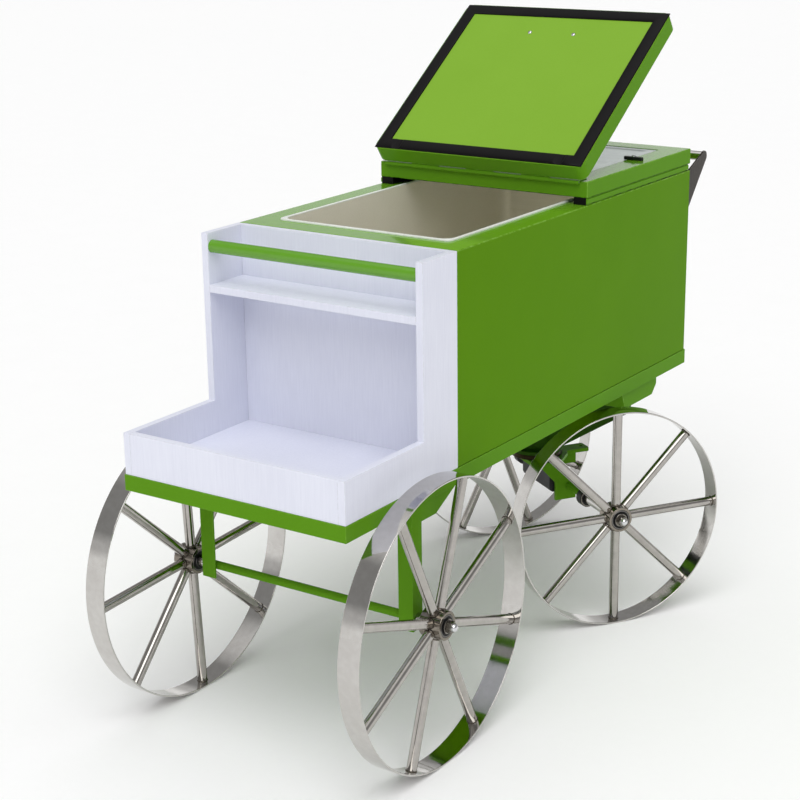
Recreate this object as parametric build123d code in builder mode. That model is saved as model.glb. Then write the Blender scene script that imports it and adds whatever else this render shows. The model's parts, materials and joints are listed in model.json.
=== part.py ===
from build123d import *
import os
from math import cos, radians, sin, sqrt

os.makedirs("parts", exist_ok=True)

# A cooler cart in millimetres: an insulated box with a hinged lid on a steel base, a white
# serving unit in front of it, two fixed front wheels and a swivelling rear axle.
# Frame: +Z up from the floor, the serving tray towards -Y, the push handle towards +Y and the
# origin under the middle of the whole cart. Most sizes below are measured from the cart's own
# datum, which is its centre plane across, the front face of the box along, and the floor up.

# Overall sizes of the box and the base
box_width = 600
box_length = 1144
box_height = 491
box_sheet = 2
base_height = 37
base_proud = 2
base_tail = 14
base_clip = 12
rail_width = 30
rail_wall = 2.5
weep_radius = 4
weld_gap = 0.2

# Wheels
front_wheel_radius = 332
rear_wheel_radius = 288
rim_width = 54
rim_thick = 4
spoke_count = 8
spoke_radius = 12
spoke_wall = 1.5
spoke_foot_gap = 1.6
bearing_radius = 26
bearing_width = 15
bearing_seat = 3
front_right_phase = 26
front_left_phase = 3
rear_right_phase = 0
rear_left_phase = 20
wheel_gap = 21
wheel_headroom = 19

# Axles and what is threaded on them
axle_radius = 10
thread_radius = 8
thread_length = 14
spacer_radius = 14
washer_radius = 17
washer_thick = 3
nut_radius = 14
nut_height = 13
dome_radius = 10
running_fit = 0.05
hole_fit = 0.1
end_play = 0.3

# Front legs
front_axle_y = -166
leg_width = 38
leg_thick = 5
leg_front_gap = 19
leg_tail = 27
gusset_length = 137
gusset_step = 57
gusset_drop = 42

# Cross beam, steering post and swivelling rear axle
king_inset = 277
steer_yaw = -33.4
trail = 55
bolster_nose = 74
bolster_tail = 123
bolster_slope = 20
bolster_clip = 24
bolster_depth = 45
bolster_wall = 3
steer_gap = 3
king_radius = 15
king_flange_radius = 38
king_flange_thick = 8
king_nut_radius = 24
king_nut_height = 15
king_nut_room = 2
bush_radius = 20
bush_length = 30
post_radius = 38
post_head_radius = 50
post_head_thick = 8
post_foot_radius = 70
post_foot_thick = 10
brace_thick = 6
brace_inset = 12
brace_lip = 25
brace_foot_inset = 4
ring_inner_radius = 45
ring_thick = 12.7
yoke_top_rise = 74
yoke_plate_thick = 10
yoke_half_width = 95
yoke_nose = 50
yoke_tail = 80
yoke_shoulder = 25
yoke_tail_half = 34
hanger_inset = 5
hanger_thick = 8
hanger_nose = 32
hanger_back = 76
hanger_front = 15
hanger_knee_rise = 12
hanger_drop = 38
lug_half_width = 23
lug_reach = 152
web_start = 70
web_end = 120
web_drop = 34
web_thick = 10
tow_reach = 136
tow_radius = 6
block_depth = 38
block_low = 16
block_round = 0.4
collar_radius = 24.5
collar_start = 178
collar_length = 25

# Serving unit
tray_depth = 425
unit_depth = 134
board_thick = 18
back_thick = 15
tray_wall = 97
shelf_drop = 119
rail_radius = 15
rail_tube_wall = 2
glass_rail_inset = 16
glass_rail_drop = 32

# Tub
lip_border = 62
lip_inset = 68
lip_width = 8
lip_raise = 4
lip_lap = 2
lip_corner = 16
tub_wall = 2
tub_flange = 1.5
tub_depth = 410
tub_corner = 30
foam_gap = 1
trim_fit = 0.2
drain_x = 150
drain_y = 430
drain_bore = 11
drain_radius = 14
drain_collar_radius = 20
drain_flange_radius = 24
drain_flange_thick = 2
drain_end = 57
drain_collar = 7

# Rear cover with its lift-out hatch
cover_thick = 40
cover_sheet = 2
strip_width = 3
strip_short = 10
seal_width = 34
hatch_border = 64
hatch_margin = 61.5
hatch_fit = 2
hatch_ledge = 18
hatch_recess = 6
hatch_thick = 5
hatch_sheet = 1.5
hatch_rim = 12
hatch_corner = 6
button_lap = 16
button_setback = 170
button_reach = 27
button_waist = 9
button_tip = 6
button_thick = 8
button_screw_radius = 3
button_screw_head = 6
button_screw_head_thick = 3
button_screw_length = 20

# Hinge between the rear cover and the lid
hinge_y = 573
hinge_sink = 2.7
hinge_margin = 20
knuckle_radius = 5
knuckle_room = 0.5
hinge_pin_radius = 2.5
knuckle_count = 7
knuckle_gap = 0.4
leaf_width = 38
leaf_thick = 2
leaf_room = 0.6

# Lid
lid_open_angle = 145
lid_thick = 43
lid_sheet = 2
lid_front_y = 10.5
lid_back_gap = 2
lid_corner = 20
core_gap = 0.2
lid_panel_sheet = 1.5
gasket_thick = 6
gasket_inset = 3
gasket_corner = 2
gasket_rest = 0.3
lip_notch_gap = 1
pull_centres = 128
pull_setback = 98
pull_radius = 6
pull_rise = 36
pull_bend = 14
pull_foot_radius = 10
pull_foot_thick = 3
pull_bore_depth = 15
screw_radius = 2.45
screw_head_radius = 5.5
screw_head_thick = 3

# Push handle
handle_reach = 93
handle_rise = 23
handle_radius = 12.5
handle_wall = 2
blade_thick = 5
blade_inset = 3
blade_tip = 15
foot_low = 100
foot_high = 1
foot_width = 35

# Heights above the floor
base_bottom = 2 * rear_wheel_radius + wheel_headroom
box_bottom = base_bottom + base_height
deck = box_bottom + box_height
hinge_rise = knuckle_radius + knuckle_room
hinge_z = deck + gasket_rest + gasket_thick + lid_thick + hinge_rise
cover_top = hinge_z + hinge_sink
cover_bottom = cover_top - cover_thick
bolster_bottom = base_bottom - bolster_depth
yoke_top = rear_wheel_radius + yoke_top_rise
post_bottom = yoke_top + end_play + ring_thick

# Places across and along the cart
box_half = box_width / 2
rail_out = box_half + base_proud
wheel_inside = rail_out + wheel_gap
wheel_x = wheel_inside + rim_width / 2
wheel_outside = wheel_inside + rim_width
hub_radius = spoke_radius / sin(radians(180 / spoke_count)) + spoke_foot_gap
king_y = box_length - king_inset
base_front = -tray_depth - base_proud
base_rear = box_length + base_tail
lip_half = box_half - lip_border
lip_rear = box_length - lip_inset
tub_half = lip_half - lip_width
tub_front = lip_inset + lip_width
tub_rear = lip_rear - lip_width
tub_bottom = deck - tub_depth

# The steered rear wheels and the front wheels set the cart's outline on the floor, and the
# origin is under the middle of that outline.
yaw = radians(steer_yaw)
outline_front = front_axle_y - front_wheel_radius
outline_rear = king_y + (trail + rear_wheel_radius) * cos(yaw) - wheel_outside * sin(yaw)
mid_x = trail * sin(yaw)
mid_y = -(outline_front + outline_rear) / 2

# Steering frame: local x along the rear axle to the right, local y behind the kingpin
steer = Plane(
    origin=(mid_x, mid_y + king_y, 0),
    x_dir=(cos(yaw), sin(yaw), 0),
    z_dir=(0, 0, 1),
)

# Lid frame on the hinge line: local axes are the cart's own when the lid is shut
lid_turn = radians(lid_open_angle)
lid_frame = Plane(
    origin=(mid_x, mid_y + hinge_y, hinge_z),
    x_dir=(1, 0, 0),
    z_dir=(0, sin(lid_turn), cos(lid_turn)),
)


def level(z):
    """Horizontal plane at a height, with its origin at the front of the box."""
    return Plane(origin=(mid_x, mid_y, z), x_dir=(1, 0, 0), z_dir=(0, 0, 1))


def side(x):
    """Upright plane along the cart: local x runs rearward, local y up, normal to the right."""
    return Plane(origin=(mid_x + x, mid_y, 0), x_dir=(0, 1, 0), z_dir=(1, 0, 0))


def axle_plane(x, y, z):
    """Plane across a fixed axle: local x runs rearward, local y up, normal to the right."""
    return Plane(origin=(mid_x + x, mid_y + y, z), x_dir=(0, 1, 0), z_dir=(1, 0, 0))


def steer_side(s):
    """Plane across the rear axle: local x runs behind the kingpin, local y up."""
    return Plane(
        origin=steer.from_local_coords((s, 0, 0)),
        x_dir=steer.y_dir,
        z_dir=steer.x_dir,
    )


def steer_axle(s):
    """Plane across the rear axle with its origin on the axle's line."""
    return Plane(
        origin=steer.from_local_coords((s, trail, rear_wheel_radius)),
        x_dir=steer.y_dir,
        z_dir=steer.x_dir,
    )


def turned(plane):
    """The same plane facing the other way."""
    return Plane(origin=plane.origin, x_dir=plane.x_dir, z_dir=-plane.z_dir)


def block(x, y, z, mode=Mode.ADD):
    """Rectangular block between limits across, along and up the cart."""
    middle = (mid_x + (x[0] + x[1]) / 2, mid_y + (y[0] + y[1]) / 2, (z[0] + z[1]) / 2)
    with Locations(middle):
        Box(x[1] - x[0], y[1] - y[0], z[1] - z[0], mode=mode)


def rod(plane, radius, length, mode=Mode.ADD):
    """Round bar that starts on a plane and runs along its normal."""
    with Locations(plane):
        Cylinder(radius, length, align=(Align.CENTER, Align.CENTER, Align.MIN), mode=mode)


def upright(x, y, z):
    """Plane for a vertical bar that starts at a point and runs up."""
    return Plane(origin=(mid_x + x, mid_y + y, z), x_dir=(1, 0, 0), z_dir=(0, 0, 1))


def save(piece, name):
    """Name a finished piece and write it to its own file."""
    piece.part.label = name
    export_step(piece.part, f"parts/{name}.step")


# Base rails: closed square tubes welded into a frame under the box and the serving unit


def tube_rail(x, y, clip=0):
    """Closed tube with a weep hole in its underside."""
    block(x, y, (base_bottom, box_bottom))
    if clip:
        ends = base_rails.edges().filter_by(Axis.Z).group_by(Axis.Y)[-1]
        chamfer(ends, length=clip)
    inside_x = (x[0] + rail_wall + clip, x[1] - rail_wall - clip)
    inside_y = (y[0] + rail_wall, y[1] - rail_wall)
    block(inside_x, inside_y, (base_bottom + rail_wall, box_bottom - rail_wall), Mode.SUBTRACT)
    middle = upright((x[0] + x[1]) / 2, (y[0] + y[1]) / 2, base_bottom)
    rod(middle, weep_radius, rail_wall, Mode.SUBTRACT)


with BuildPart() as base_rails:
    side_span = (base_front + rail_width + weld_gap, base_rear - rail_width - weld_gap)
    cross_half = rail_out - rail_width - weld_gap
    tube_rail((-rail_out, rail_out), (base_rear - rail_width, base_rear), base_clip)
    tube_rail((-rail_out, rail_out), (base_front, base_front + rail_width))
    tube_rail((rail_out - rail_width, rail_out), side_span)
    tube_rail((-rail_out, rail_width - rail_out), side_span)
    tube_rail((-cross_half, cross_half), (-rail_width / 2, rail_width / 2))
save(base_rails, "base_rails")

# Cross beam: a folded box section whose corners stay inside the swing of the rear wheels

bolster_half = sqrt((wheel_inside - steer_gap) ** 2 - bolster_tail**2)
bolster_points = (
    (king_y - bolster_nose, base_bottom),
    (king_y - bolster_nose + bolster_slope, bolster_bottom),
    (king_y + bolster_tail - bolster_clip, bolster_bottom),
    (king_y + bolster_tail, bolster_bottom + bolster_clip),
    (king_y + bolster_tail, base_bottom),
)
with BuildPart() as bolster:
    with BuildSketch(side(-bolster_half)):
        Polygon(*bolster_points, align=None)
    extrude(amount=2 * bolster_half)
    with BuildSketch(side(bolster_wall - bolster_half)):
        Polygon(*bolster_points, align=None)
        offset(amount=-bolster_wall, mode=Mode.REPLACE)
    extrude(amount=2 * (bolster_half - bolster_wall), mode=Mode.SUBTRACT)
    king_hole = upright(0, king_y, bolster_bottom)
    rod(king_hole, king_radius + king_nut_room, bolster_wall, Mode.SUBTRACT)
save(bolster, "bolster")

# Steering post: a tube hung from the cross beam, with a wide foot and a brace plate on each side

brace_low = post_bottom + post_foot_thick + weld_gap
brace_high = bolster_bottom - post_head_thick - weld_gap
brace_out = bolster_half - brace_inset
brace_points = (
    (post_radius + weld_gap, brace_low),
    (post_foot_radius - brace_foot_inset, brace_low),
    (brace_out, bolster_bottom - brace_lip),
    (brace_out, bolster_bottom),
    (post_head_radius + weld_gap, bolster_bottom),
    (post_head_radius + weld_gap, brace_high),
    (post_radius + weld_gap, brace_high),
)
brace_rear = mid_y + king_y + brace_thick / 2
with BuildPart() as steering_post:
    rod(upright(0, king_y, post_bottom), post_radius, bolster_bottom - post_bottom)
    rod(upright(0, king_y, post_bottom), post_foot_radius, post_foot_thick)
    rod(upright(0, king_y, bolster_bottom - post_head_thick), post_head_radius, post_head_thick)
    bore_length = bolster_bottom - post_bottom
    rod(upright(0, king_y, post_bottom), bush_radius, bore_length, Mode.SUBTRACT)
    with BuildSketch(Plane(origin=(mid_x, brace_rear, 0), x_dir=(1, 0, 0), z_dir=(0, -1, 0))):
        Polygon(*brace_points, align=None)
        Polygon(*[(-x, z) for x, z in reversed(brace_points)], align=None)
    extrude(amount=brace_thick)
save(steering_post, "steering_post")

# Steering bushes: one at each end of the post and a thrust ring on the swivel plate

with BuildPart() as steering_bushes:
    for bush_z in (post_bottom, bolster_bottom - bush_length):
        rod(upright(0, king_y, bush_z), bush_radius, bush_length)
    rod(upright(0, king_y, post_bottom - ring_thick), post_foot_radius, ring_thick)
    rod(upright(0, king_y, post_bottom - ring_thick), ring_inner_radius, ring_thick, Mode.SUBTRACT)
    bush_bore = king_radius + running_fit
    rod(upright(0, king_y, post_bottom), bush_bore, bolster_bottom - post_bottom, Mode.SUBTRACT)
save(steering_bushes, "steering_bushes")

# Kingpin: welded to the swivel plate by its flange, and held up in the cross beam by a nut

king_nut_z = bolster_bottom + bolster_wall + end_play
king_top = king_nut_z + king_nut_height + king_nut_room
with BuildPart() as kingpin:
    rod(upright(0, king_y, yoke_top), king_flange_radius, king_flange_thick)
    rod(upright(0, king_y, yoke_top), king_radius, king_top - yoke_top)
save(kingpin, "kingpin")

with BuildPart() as kingpin_nut:
    with BuildSketch(upright(0, king_y, king_nut_z)):
        RegularPolygon(king_nut_radius, 6)
        Circle(king_radius + running_fit, mode=Mode.SUBTRACT)
    extrude(amount=king_nut_height)
save(kingpin_nut, "kingpin_nut")

# Swivel yoke: a plate on the thrust ring with two hangers for the axle and a tow lug

yoke_under = yoke_top - yoke_plate_thick
hanger_outline = (
    (-hanger_nose, yoke_under),
    (yoke_shoulder, yoke_under),
    (hanger_back, rear_wheel_radius + axle_radius),
    (hanger_back, rear_wheel_radius - hanger_drop),
    (hanger_front, rear_wheel_radius - hanger_drop),
    (hanger_front, rear_wheel_radius + hanger_knee_rise),
)
hanger_out = yoke_half_width - hanger_inset
hanger_in = hanger_out - hanger_thick
with BuildPart() as swivel_yoke:
    with BuildSketch(steer.offset(yoke_under)):
        Polygon(
            (-yoke_half_width, -yoke_nose),
            (yoke_half_width, -yoke_nose),
            (yoke_half_width, yoke_shoulder),
            (yoke_tail_half, yoke_tail),
            (-yoke_tail_half, yoke_tail),
            (-yoke_half_width, yoke_shoulder),
            align=None,
        )
        with Locations((0, lug_reach / 2)):
            Rectangle(2 * lug_half_width, lug_reach)
    extrude(amount=yoke_plate_thick)
    fillet(swivel_yoke.edges().filter_by(Axis.Z), radius=lug_half_width / 4)
    with BuildSketch(steer.offset(yoke_under)):
        with Locations((0, tow_reach)):
            Circle(tow_radius)
    extrude(amount=yoke_plate_thick, mode=Mode.SUBTRACT)
    for hanger_s in (hanger_in, -hanger_out):
        with BuildSketch(steer_side(hanger_s)):
            Polygon(*hanger_outline, align=None)
            with Locations((trail, rear_wheel_radius)):
                Circle(axle_radius + hole_fit, mode=Mode.SUBTRACT)
        extrude(amount=hanger_thick)
    with BuildSketch(steer_side(-web_thick / 2)):
        with Locations(((web_start + web_end) / 2, yoke_under - web_drop / 2)):
            Rectangle(web_end - web_start, web_drop)
    extrude(amount=web_thick)
save(swivel_yoke, "swivel_yoke")

# Yoke block: the dark stiffening bar between the two hangers, ahead of the axle

with BuildPart() as yoke_block:
    with BuildSketch(steer_side(-hanger_in)):
        block_height = yoke_under - rear_wheel_radius + block_low
        with Locations((block_depth / 2, yoke_under - block_height / 2)):
            RectangleRounded(block_depth, block_height, block_depth * block_round)
    extrude(amount=2 * hanger_in)
save(yoke_block, "yoke_block")

# Axles: round bars with a shoulder and a threaded end at each side


def axle(plane):
    """Axle through the middle of a plane, with its shoulders just outside the hubs."""
    shoulder = wheel_outside + end_play
    rod(plane.offset(-shoulder - thread_length), thread_radius, 2 * (shoulder + thread_length))
    rod(plane.offset(-shoulder), axle_radius, 2 * shoulder)


def dome_nut(plane):
    """Domed nut with its washer, standing on the plane of an axle's shoulder."""
    rod(plane, washer_radius, washer_thick)
    with BuildSketch(plane.offset(washer_thick)) as flats:
        RegularPolygon(nut_radius, 6)
    extrude(flats.sketch, amount=nut_height)
    with Locations(plane.offset(washer_thick + nut_height)):
        Sphere(dome_radius, arc_size1=0, align=(Align.CENTER, Align.CENTER, Align.MIN))
    rod(plane, thread_radius + running_fit, thread_length + end_play, Mode.SUBTRACT)


def sleeve(plane, radius, length):
    """Tube on an axle that starts on a plane."""
    rod(plane, radius, length)
    rod(plane, axle_radius + running_fit, length, Mode.SUBTRACT)


front_line = axle_plane(0, front_axle_y, front_wheel_radius)
rear_line = steer_axle(0)

with BuildPart() as front_axle:
    axle(front_line)
save(front_axle, "front_axle")

with BuildPart() as rear_axle:
    axle(rear_line)
save(rear_axle, "rear_axle")

for axle_name, line in (("front", front_line), ("rear", rear_line)):
    with BuildPart() as nuts:
        for outward in (line, turned(line)):
            dome_nut(outward.offset(wheel_outside + end_play))
    save(nuts, f"{axle_name}_nuts")

spacer_end = wheel_inside - end_play
with BuildPart() as front_spacers:
    for outward in (front_line, turned(front_line)):
        sleeve(outward.offset(box_half), spacer_radius, spacer_end - box_half)
save(front_spacers, "front_spacers")

collar_end = collar_start + collar_length
with BuildPart() as rear_collars:
    for outward in (rear_line, turned(rear_line)):
        sleeve(outward.offset(collar_start), collar_radius, collar_length)
save(rear_collars, "rear_collars")

with BuildPart() as rear_spacers:
    for outward in (rear_line, turned(rear_line)):
        sleeve(outward.offset(collar_end), spacer_radius, spacer_end - collar_end)
save(rear_spacers, "rear_spacers")

# Wheels: a flat steel band on tube spokes that are welded to a hub with two sealed bearings

wheels = (
    ("front_right", axle_plane(wheel_x, front_axle_y, front_wheel_radius),
     front_wheel_radius, front_right_phase),
    ("front_left", axle_plane(-wheel_x, front_axle_y, front_wheel_radius),
     front_wheel_radius, front_left_phase),
    ("rear_right", steer_axle(wheel_x), rear_wheel_radius, rear_right_phase),
    ("rear_left", steer_axle(-wheel_x), rear_wheel_radius, rear_left_phase),
)
spoke_start = sqrt(hub_radius**2 - spoke_radius**2) - spoke_foot_gap / 2
for wheel_name, wheel_plane, wheel_radius, phase in wheels:
    band_inside = wheel_radius - rim_thick
    with BuildPart(wheel_plane) as rim:
        Cylinder(wheel_radius, rim_width)
        Cylinder(band_inside, rim_width, mode=Mode.SUBTRACT)
    save(rim, f"{wheel_name}_rim")

    with BuildPart(wheel_plane) as spokes:
        foot = (Align.CENTER, Align.CENTER, Align.MIN)
        with PolarLocations(spoke_start, spoke_count, start_angle=phase):
            Cylinder(spoke_radius, wheel_radius - spoke_start, rotation=(0, 90, 0), align=foot)
        with PolarLocations(spoke_start, spoke_count, start_angle=phase):
            Cylinder(spoke_radius - spoke_wall, wheel_radius - spoke_start,
                     rotation=(0, 90, 0), align=foot, mode=Mode.SUBTRACT)
        Cylinder(band_inside, rim_width, mode=Mode.INTERSECT)
        Cylinder(hub_radius, rim_width, mode=Mode.SUBTRACT)
    save(spokes, f"{wheel_name}_spokes")

    with BuildPart(wheel_plane) as hub:
        Cylinder(hub_radius, rim_width)
        Cylinder(bearing_radius - bearing_seat, rim_width, mode=Mode.SUBTRACT)
        for end in (-1, 1):
            with Locations((0, 0, end * (rim_width - bearing_width) / 2)):
                Cylinder(bearing_radius, bearing_width, mode=Mode.SUBTRACT)
    save(hub, f"{wheel_name}_hub")

    with BuildPart(wheel_plane) as bearings:
        for end in (-1, 1):
            with Locations((0, 0, end * (rim_width - bearing_width) / 2)):
                Cylinder(bearing_radius, bearing_width)
        Cylinder(axle_radius + running_fit, rim_width, mode=Mode.SUBTRACT)
    save(bearings, f"{wheel_name}_bearings")

# Front legs: angle irons with a side gusset, drilled for the axle

leg_front = front_axle_y - leg_front_gap
leg_back = leg_front + leg_width
leg_bottom = front_wheel_radius - leg_tail
gusset_outline = (
    (leg_back, base_bottom),
    (leg_back, base_bottom - gusset_drop),
    (leg_back + gusset_step, base_bottom - gusset_drop),
    (leg_back + gusset_length, base_bottom),
)
with BuildPart() as front_legs:
    leg_span = (leg_bottom, base_bottom)
    block((box_half - leg_thick, box_half), (leg_front, leg_back), leg_span)
    block((box_half - leg_width, box_half), (leg_front, leg_front + leg_thick), leg_span)
    with BuildSketch(side(box_half - leg_thick)):
        Polygon(*gusset_outline, align=None)
    extrude(amount=leg_thick)
    axle_hole = axle_plane(box_half - leg_thick, front_axle_y, front_wheel_radius)
    rod(axle_hole, axle_radius + hole_fit, leg_thick, Mode.SUBTRACT)
    mirror(about=side(0))
save(front_legs, "front_legs")

# Box: green sheets welded at their edges under a flat deck, lined with foam around the tub

box_inside = box_half - box_sheet
with BuildPart() as box_shell:
    block((-box_half, box_half), (0, box_length), (box_bottom, deck))
    inside_y = (box_sheet, box_length - box_sheet)
    inside_z = (box_bottom + box_sheet, deck - box_sheet)
    block((-box_inside, box_inside), inside_y, inside_z, Mode.SUBTRACT)
    mouth_half = tub_half + tub_wall + foam_gap
    mouth_y = (tub_front - tub_wall - foam_gap, tub_rear + tub_wall + foam_gap)
    deck_z = (deck - box_sheet, deck)
    block((-mouth_half, mouth_half), mouth_y, deck_z, Mode.SUBTRACT)
    drain_hole = upright(drain_x, drain_y, box_bottom)
    rod(drain_hole, drain_radius + hole_fit, box_sheet, Mode.SUBTRACT)
    for seam_z in (inside_z[0], inside_z[1] - weld_gap):
        block((-box_half, box_half), (0, box_length), (seam_z, seam_z + weld_gap), Mode.SUBTRACT)
    for seam_x, seam_span in ((box_inside, inside_z), (mouth_half, deck_z)):
        block((seam_x - weld_gap, seam_x), (0, box_length), seam_span, Mode.SUBTRACT)
        block((-seam_x, weld_gap - seam_x), (0, box_length), seam_span, Mode.SUBTRACT)
save(box_shell, "box_shell")

with BuildPart() as box_foam:
    block((-box_inside, box_inside), inside_y, inside_z)
    cavity_z = (tub_bottom - tub_wall - foam_gap, deck)
    block((-mouth_half, mouth_half), mouth_y, cavity_z, Mode.SUBTRACT)
    rod(drain_hole, drain_radius + foam_gap, deck - box_bottom, Mode.SUBTRACT)
save(box_foam, "box_foam")

# Tub: a stainless liner of a floor, four folded walls and four rounded corners, welded at their
# edges, that hangs in the deck by its flange

tub_middle = (tub_front + tub_rear) / 2
tub_size = (2 * tub_half, tub_rear - tub_front)
flange_lap = lip_width - lip_lap
with BuildPart() as tub:
    with BuildSketch(level(tub_bottom - tub_wall)):
        with Locations((0, tub_middle)):
            RectangleRounded(tub_size[0] + 2 * tub_wall, tub_size[1] + 2 * tub_wall,
                             tub_corner + tub_wall)
    extrude(amount=tub_depth + tub_wall)
    with BuildSketch(level(deck)):
        with Locations((0, tub_middle)):
            RectangleRounded(tub_size[0] + 2 * flange_lap, tub_size[1] + 2 * flange_lap,
                             lip_corner - lip_lap)
    extrude(amount=tub_flange)
    with BuildSketch(level(tub_bottom)):
        with Locations((0, tub_middle)):
            RectangleRounded(*tub_size, tub_corner)
    extrude(amount=tub_depth + tub_flange, mode=Mode.SUBTRACT)
    tub_hole = upright(drain_x, drain_y, tub_bottom - tub_wall)
    rod(tub_hole, drain_radius + hole_fit, tub_wall, Mode.SUBTRACT)
    wall_z = (tub_bottom, deck + tub_flange)
    lip_span = (lip_inset, lip_rear)
    block((-lip_half, lip_half), lip_span, (tub_bottom, tub_bottom + weld_gap), Mode.SUBTRACT)
    bend_x = tub_half - tub_corner
    for seam_x in (bend_x - weld_gap, -bend_x):
        block((seam_x, seam_x + weld_gap), lip_span, wall_z, Mode.SUBTRACT)
    for seam_y in (tub_front + tub_corner, tub_rear - tub_corner - weld_gap):
        block((-lip_half, lip_half), (seam_y, seam_y + weld_gap), wall_z, Mode.SUBTRACT)
save(tub, "tub")

# Tub trim: a white bead clipped over the flange

with BuildPart() as tub_trim:
    with BuildSketch(level(deck)):
        with Locations((0, tub_middle)):
            RectangleRounded(tub_size[0] + 2 * lip_width, tub_size[1] + 2 * lip_width, lip_corner)
    extrude(amount=lip_raise)
    fillet(tub_trim.faces().sort_by(Axis.Z)[-1].edges(), radius=lip_lap)
    with BuildSketch(level(deck)):
        with Locations((0, tub_middle)):
            RectangleRounded(tub_size[0] + 2 * (flange_lap + trim_fit),
                             tub_size[1] + 2 * (flange_lap + trim_fit),
                             lip_corner - lip_lap + trim_fit)
    extrude(amount=tub_flange, mode=Mode.SUBTRACT)
    with BuildSketch(level(deck)):
        with Locations((0, tub_middle)):
            RectangleRounded(*tub_size, tub_corner)
    extrude(amount=lip_raise, mode=Mode.SUBTRACT)
save(tub_trim, "tub_trim")

# Drain spout: a flanged tube through the floor of the tub and the box, with a hose end below

spout_bottom = box_bottom - drain_end
collar_z = box_bottom - drain_collar
with BuildPart() as drain_spout:
    rod(upright(drain_x, drain_y, spout_bottom), drain_radius, tub_bottom - spout_bottom)
    rod(upright(drain_x, drain_y, collar_z), drain_collar_radius, drain_collar)
    rod(upright(drain_x, drain_y, tub_bottom), drain_flange_radius, drain_flange_thick)
    bore_top = tub_bottom + drain_flange_thick - spout_bottom
    rod(upright(drain_x, drain_y, spout_bottom), drain_bore, bore_top, Mode.SUBTRACT)
save(drain_spout, "drain_spout")

# Rear cover: a hollow sheet lid fixed over the back of the deck, with a recessed hatch

cover_front = hinge_y + knuckle_radius + knuckle_room
hatch_half = box_half - hatch_border
hatch_front = cover_front + hatch_margin
hatch_rear = box_length - hatch_border
recess_x = hatch_half + hatch_fit
recess_y = (hatch_front - hatch_fit, hatch_rear + hatch_fit)
mouth_x = recess_x - hatch_ledge - hatch_fit
hatch_mouth_y = (recess_y[0] + hatch_ledge + hatch_fit, recess_y[1] - hatch_ledge - hatch_fit)
ledge_z = cover_top - hatch_recess
button_x = hatch_half + button_lap
button_y = hatch_rear - button_setback


def span_rectangle(half_x, span_y, grow=0, mode=Mode.ADD):
    """Rectangle about the centre plane between two places along the cart."""
    with Locations((0, (span_y[0] + span_y[1]) / 2)):
        Rectangle(2 * (half_x + grow), span_y[1] - span_y[0] + 2 * grow, mode=mode)


with BuildPart() as cover_pan:
    cover_y = (cover_front, box_length)
    block((-box_half, box_half), cover_y, (cover_bottom, cover_top))
    block((-recess_x, recess_x), recess_y, (ledge_z, cover_top), Mode.SUBTRACT)
    block((-mouth_x, mouth_x), hatch_mouth_y, (cover_bottom, cover_top), Mode.SUBTRACT)
    with BuildSketch(level(cover_bottom + cover_sheet)):
        span_rectangle(box_half, cover_y, -cover_sheet)
        span_rectangle(mouth_x, hatch_mouth_y, cover_sheet, Mode.SUBTRACT)
    extrude(amount=ledge_z - cover_bottom - 2 * cover_sheet, mode=Mode.SUBTRACT)
    with BuildSketch(level(ledge_z - cover_sheet)):
        span_rectangle(box_half, cover_y, -cover_sheet)
        span_rectangle(recess_x, recess_y, cover_sheet, Mode.SUBTRACT)
    extrude(amount=hatch_recess, mode=Mode.SUBTRACT)
    fill_y = (cover_front + hatch_mouth_y[0]) / 2
    rod(upright(0, fill_y, cover_bottom), weep_radius, cover_sheet, Mode.SUBTRACT)
    screw_hole = upright(button_x, button_y, cover_top - cover_sheet)
    rod(screw_hole, button_screw_radius + running_fit, cover_sheet, Mode.SUBTRACT)
save(cover_pan, "cover_pan")

# Cover strips and seal: green risers round the edge and a black seal inside them

strip_z = (deck, cover_bottom)
strip_in = box_half - strip_width
strip_rear = box_length - strip_short
with BuildPart() as cover_strips:
    block((strip_in, box_half), (cover_front, strip_rear), strip_z)
    block((-box_half, -strip_in), (cover_front, strip_rear), strip_z)
    rear_half = strip_in - weld_gap
    block((-rear_half, rear_half), (strip_rear - strip_width, strip_rear), strip_z)
save(cover_strips, "cover_strips")

with BuildPart() as cover_seal:
    seal_rear = strip_rear - strip_width
    seal_in = strip_in - seal_width
    block((-strip_in, strip_in), (cover_front, seal_rear), strip_z)
    block((-seal_in, seal_in), (cover_front, seal_rear - seal_width), strip_z, Mode.SUBTRACT)
save(cover_seal, "cover_seal")

# Hatch panel: a folded stainless sheet that lies on the ledge of the recess

with BuildPart() as hatch_panel:
    hatch_middle = (hatch_front + hatch_rear) / 2
    with BuildSketch(level(ledge_z)):
        with Locations((0, hatch_middle)):
            RectangleRounded(2 * hatch_half, hatch_rear - hatch_front, hatch_corner)
    extrude(amount=hatch_thick)
    with BuildSketch(level(ledge_z)):
        span_rectangle(hatch_half, (hatch_front, hatch_rear), -hatch_rim)
    extrude(amount=hatch_thick - hatch_sheet, mode=Mode.SUBTRACT)
save(hatch_panel, "hatch_panel")

# Turn button: a two-winged catch over the edge of the hatch, on a screw in the cover

with BuildPart() as turn_button:
    with BuildSketch(upright(button_x, button_y, cover_top + end_play)):
        Circle(button_waist)
        with Locations((button_tip - button_reach, 0), (button_reach - button_tip, 0)):
            Circle(button_tip)
        make_hull()
        Circle(button_screw_radius + running_fit, mode=Mode.SUBTRACT)
    extrude(amount=button_thick)
    top_edges = turn_button.faces().sort_by(Axis.Z)[-1].outer_wire().edges()
    chamfer(top_edges, length=button_thick / 5)
save(turn_button, "turn_button")

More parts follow.
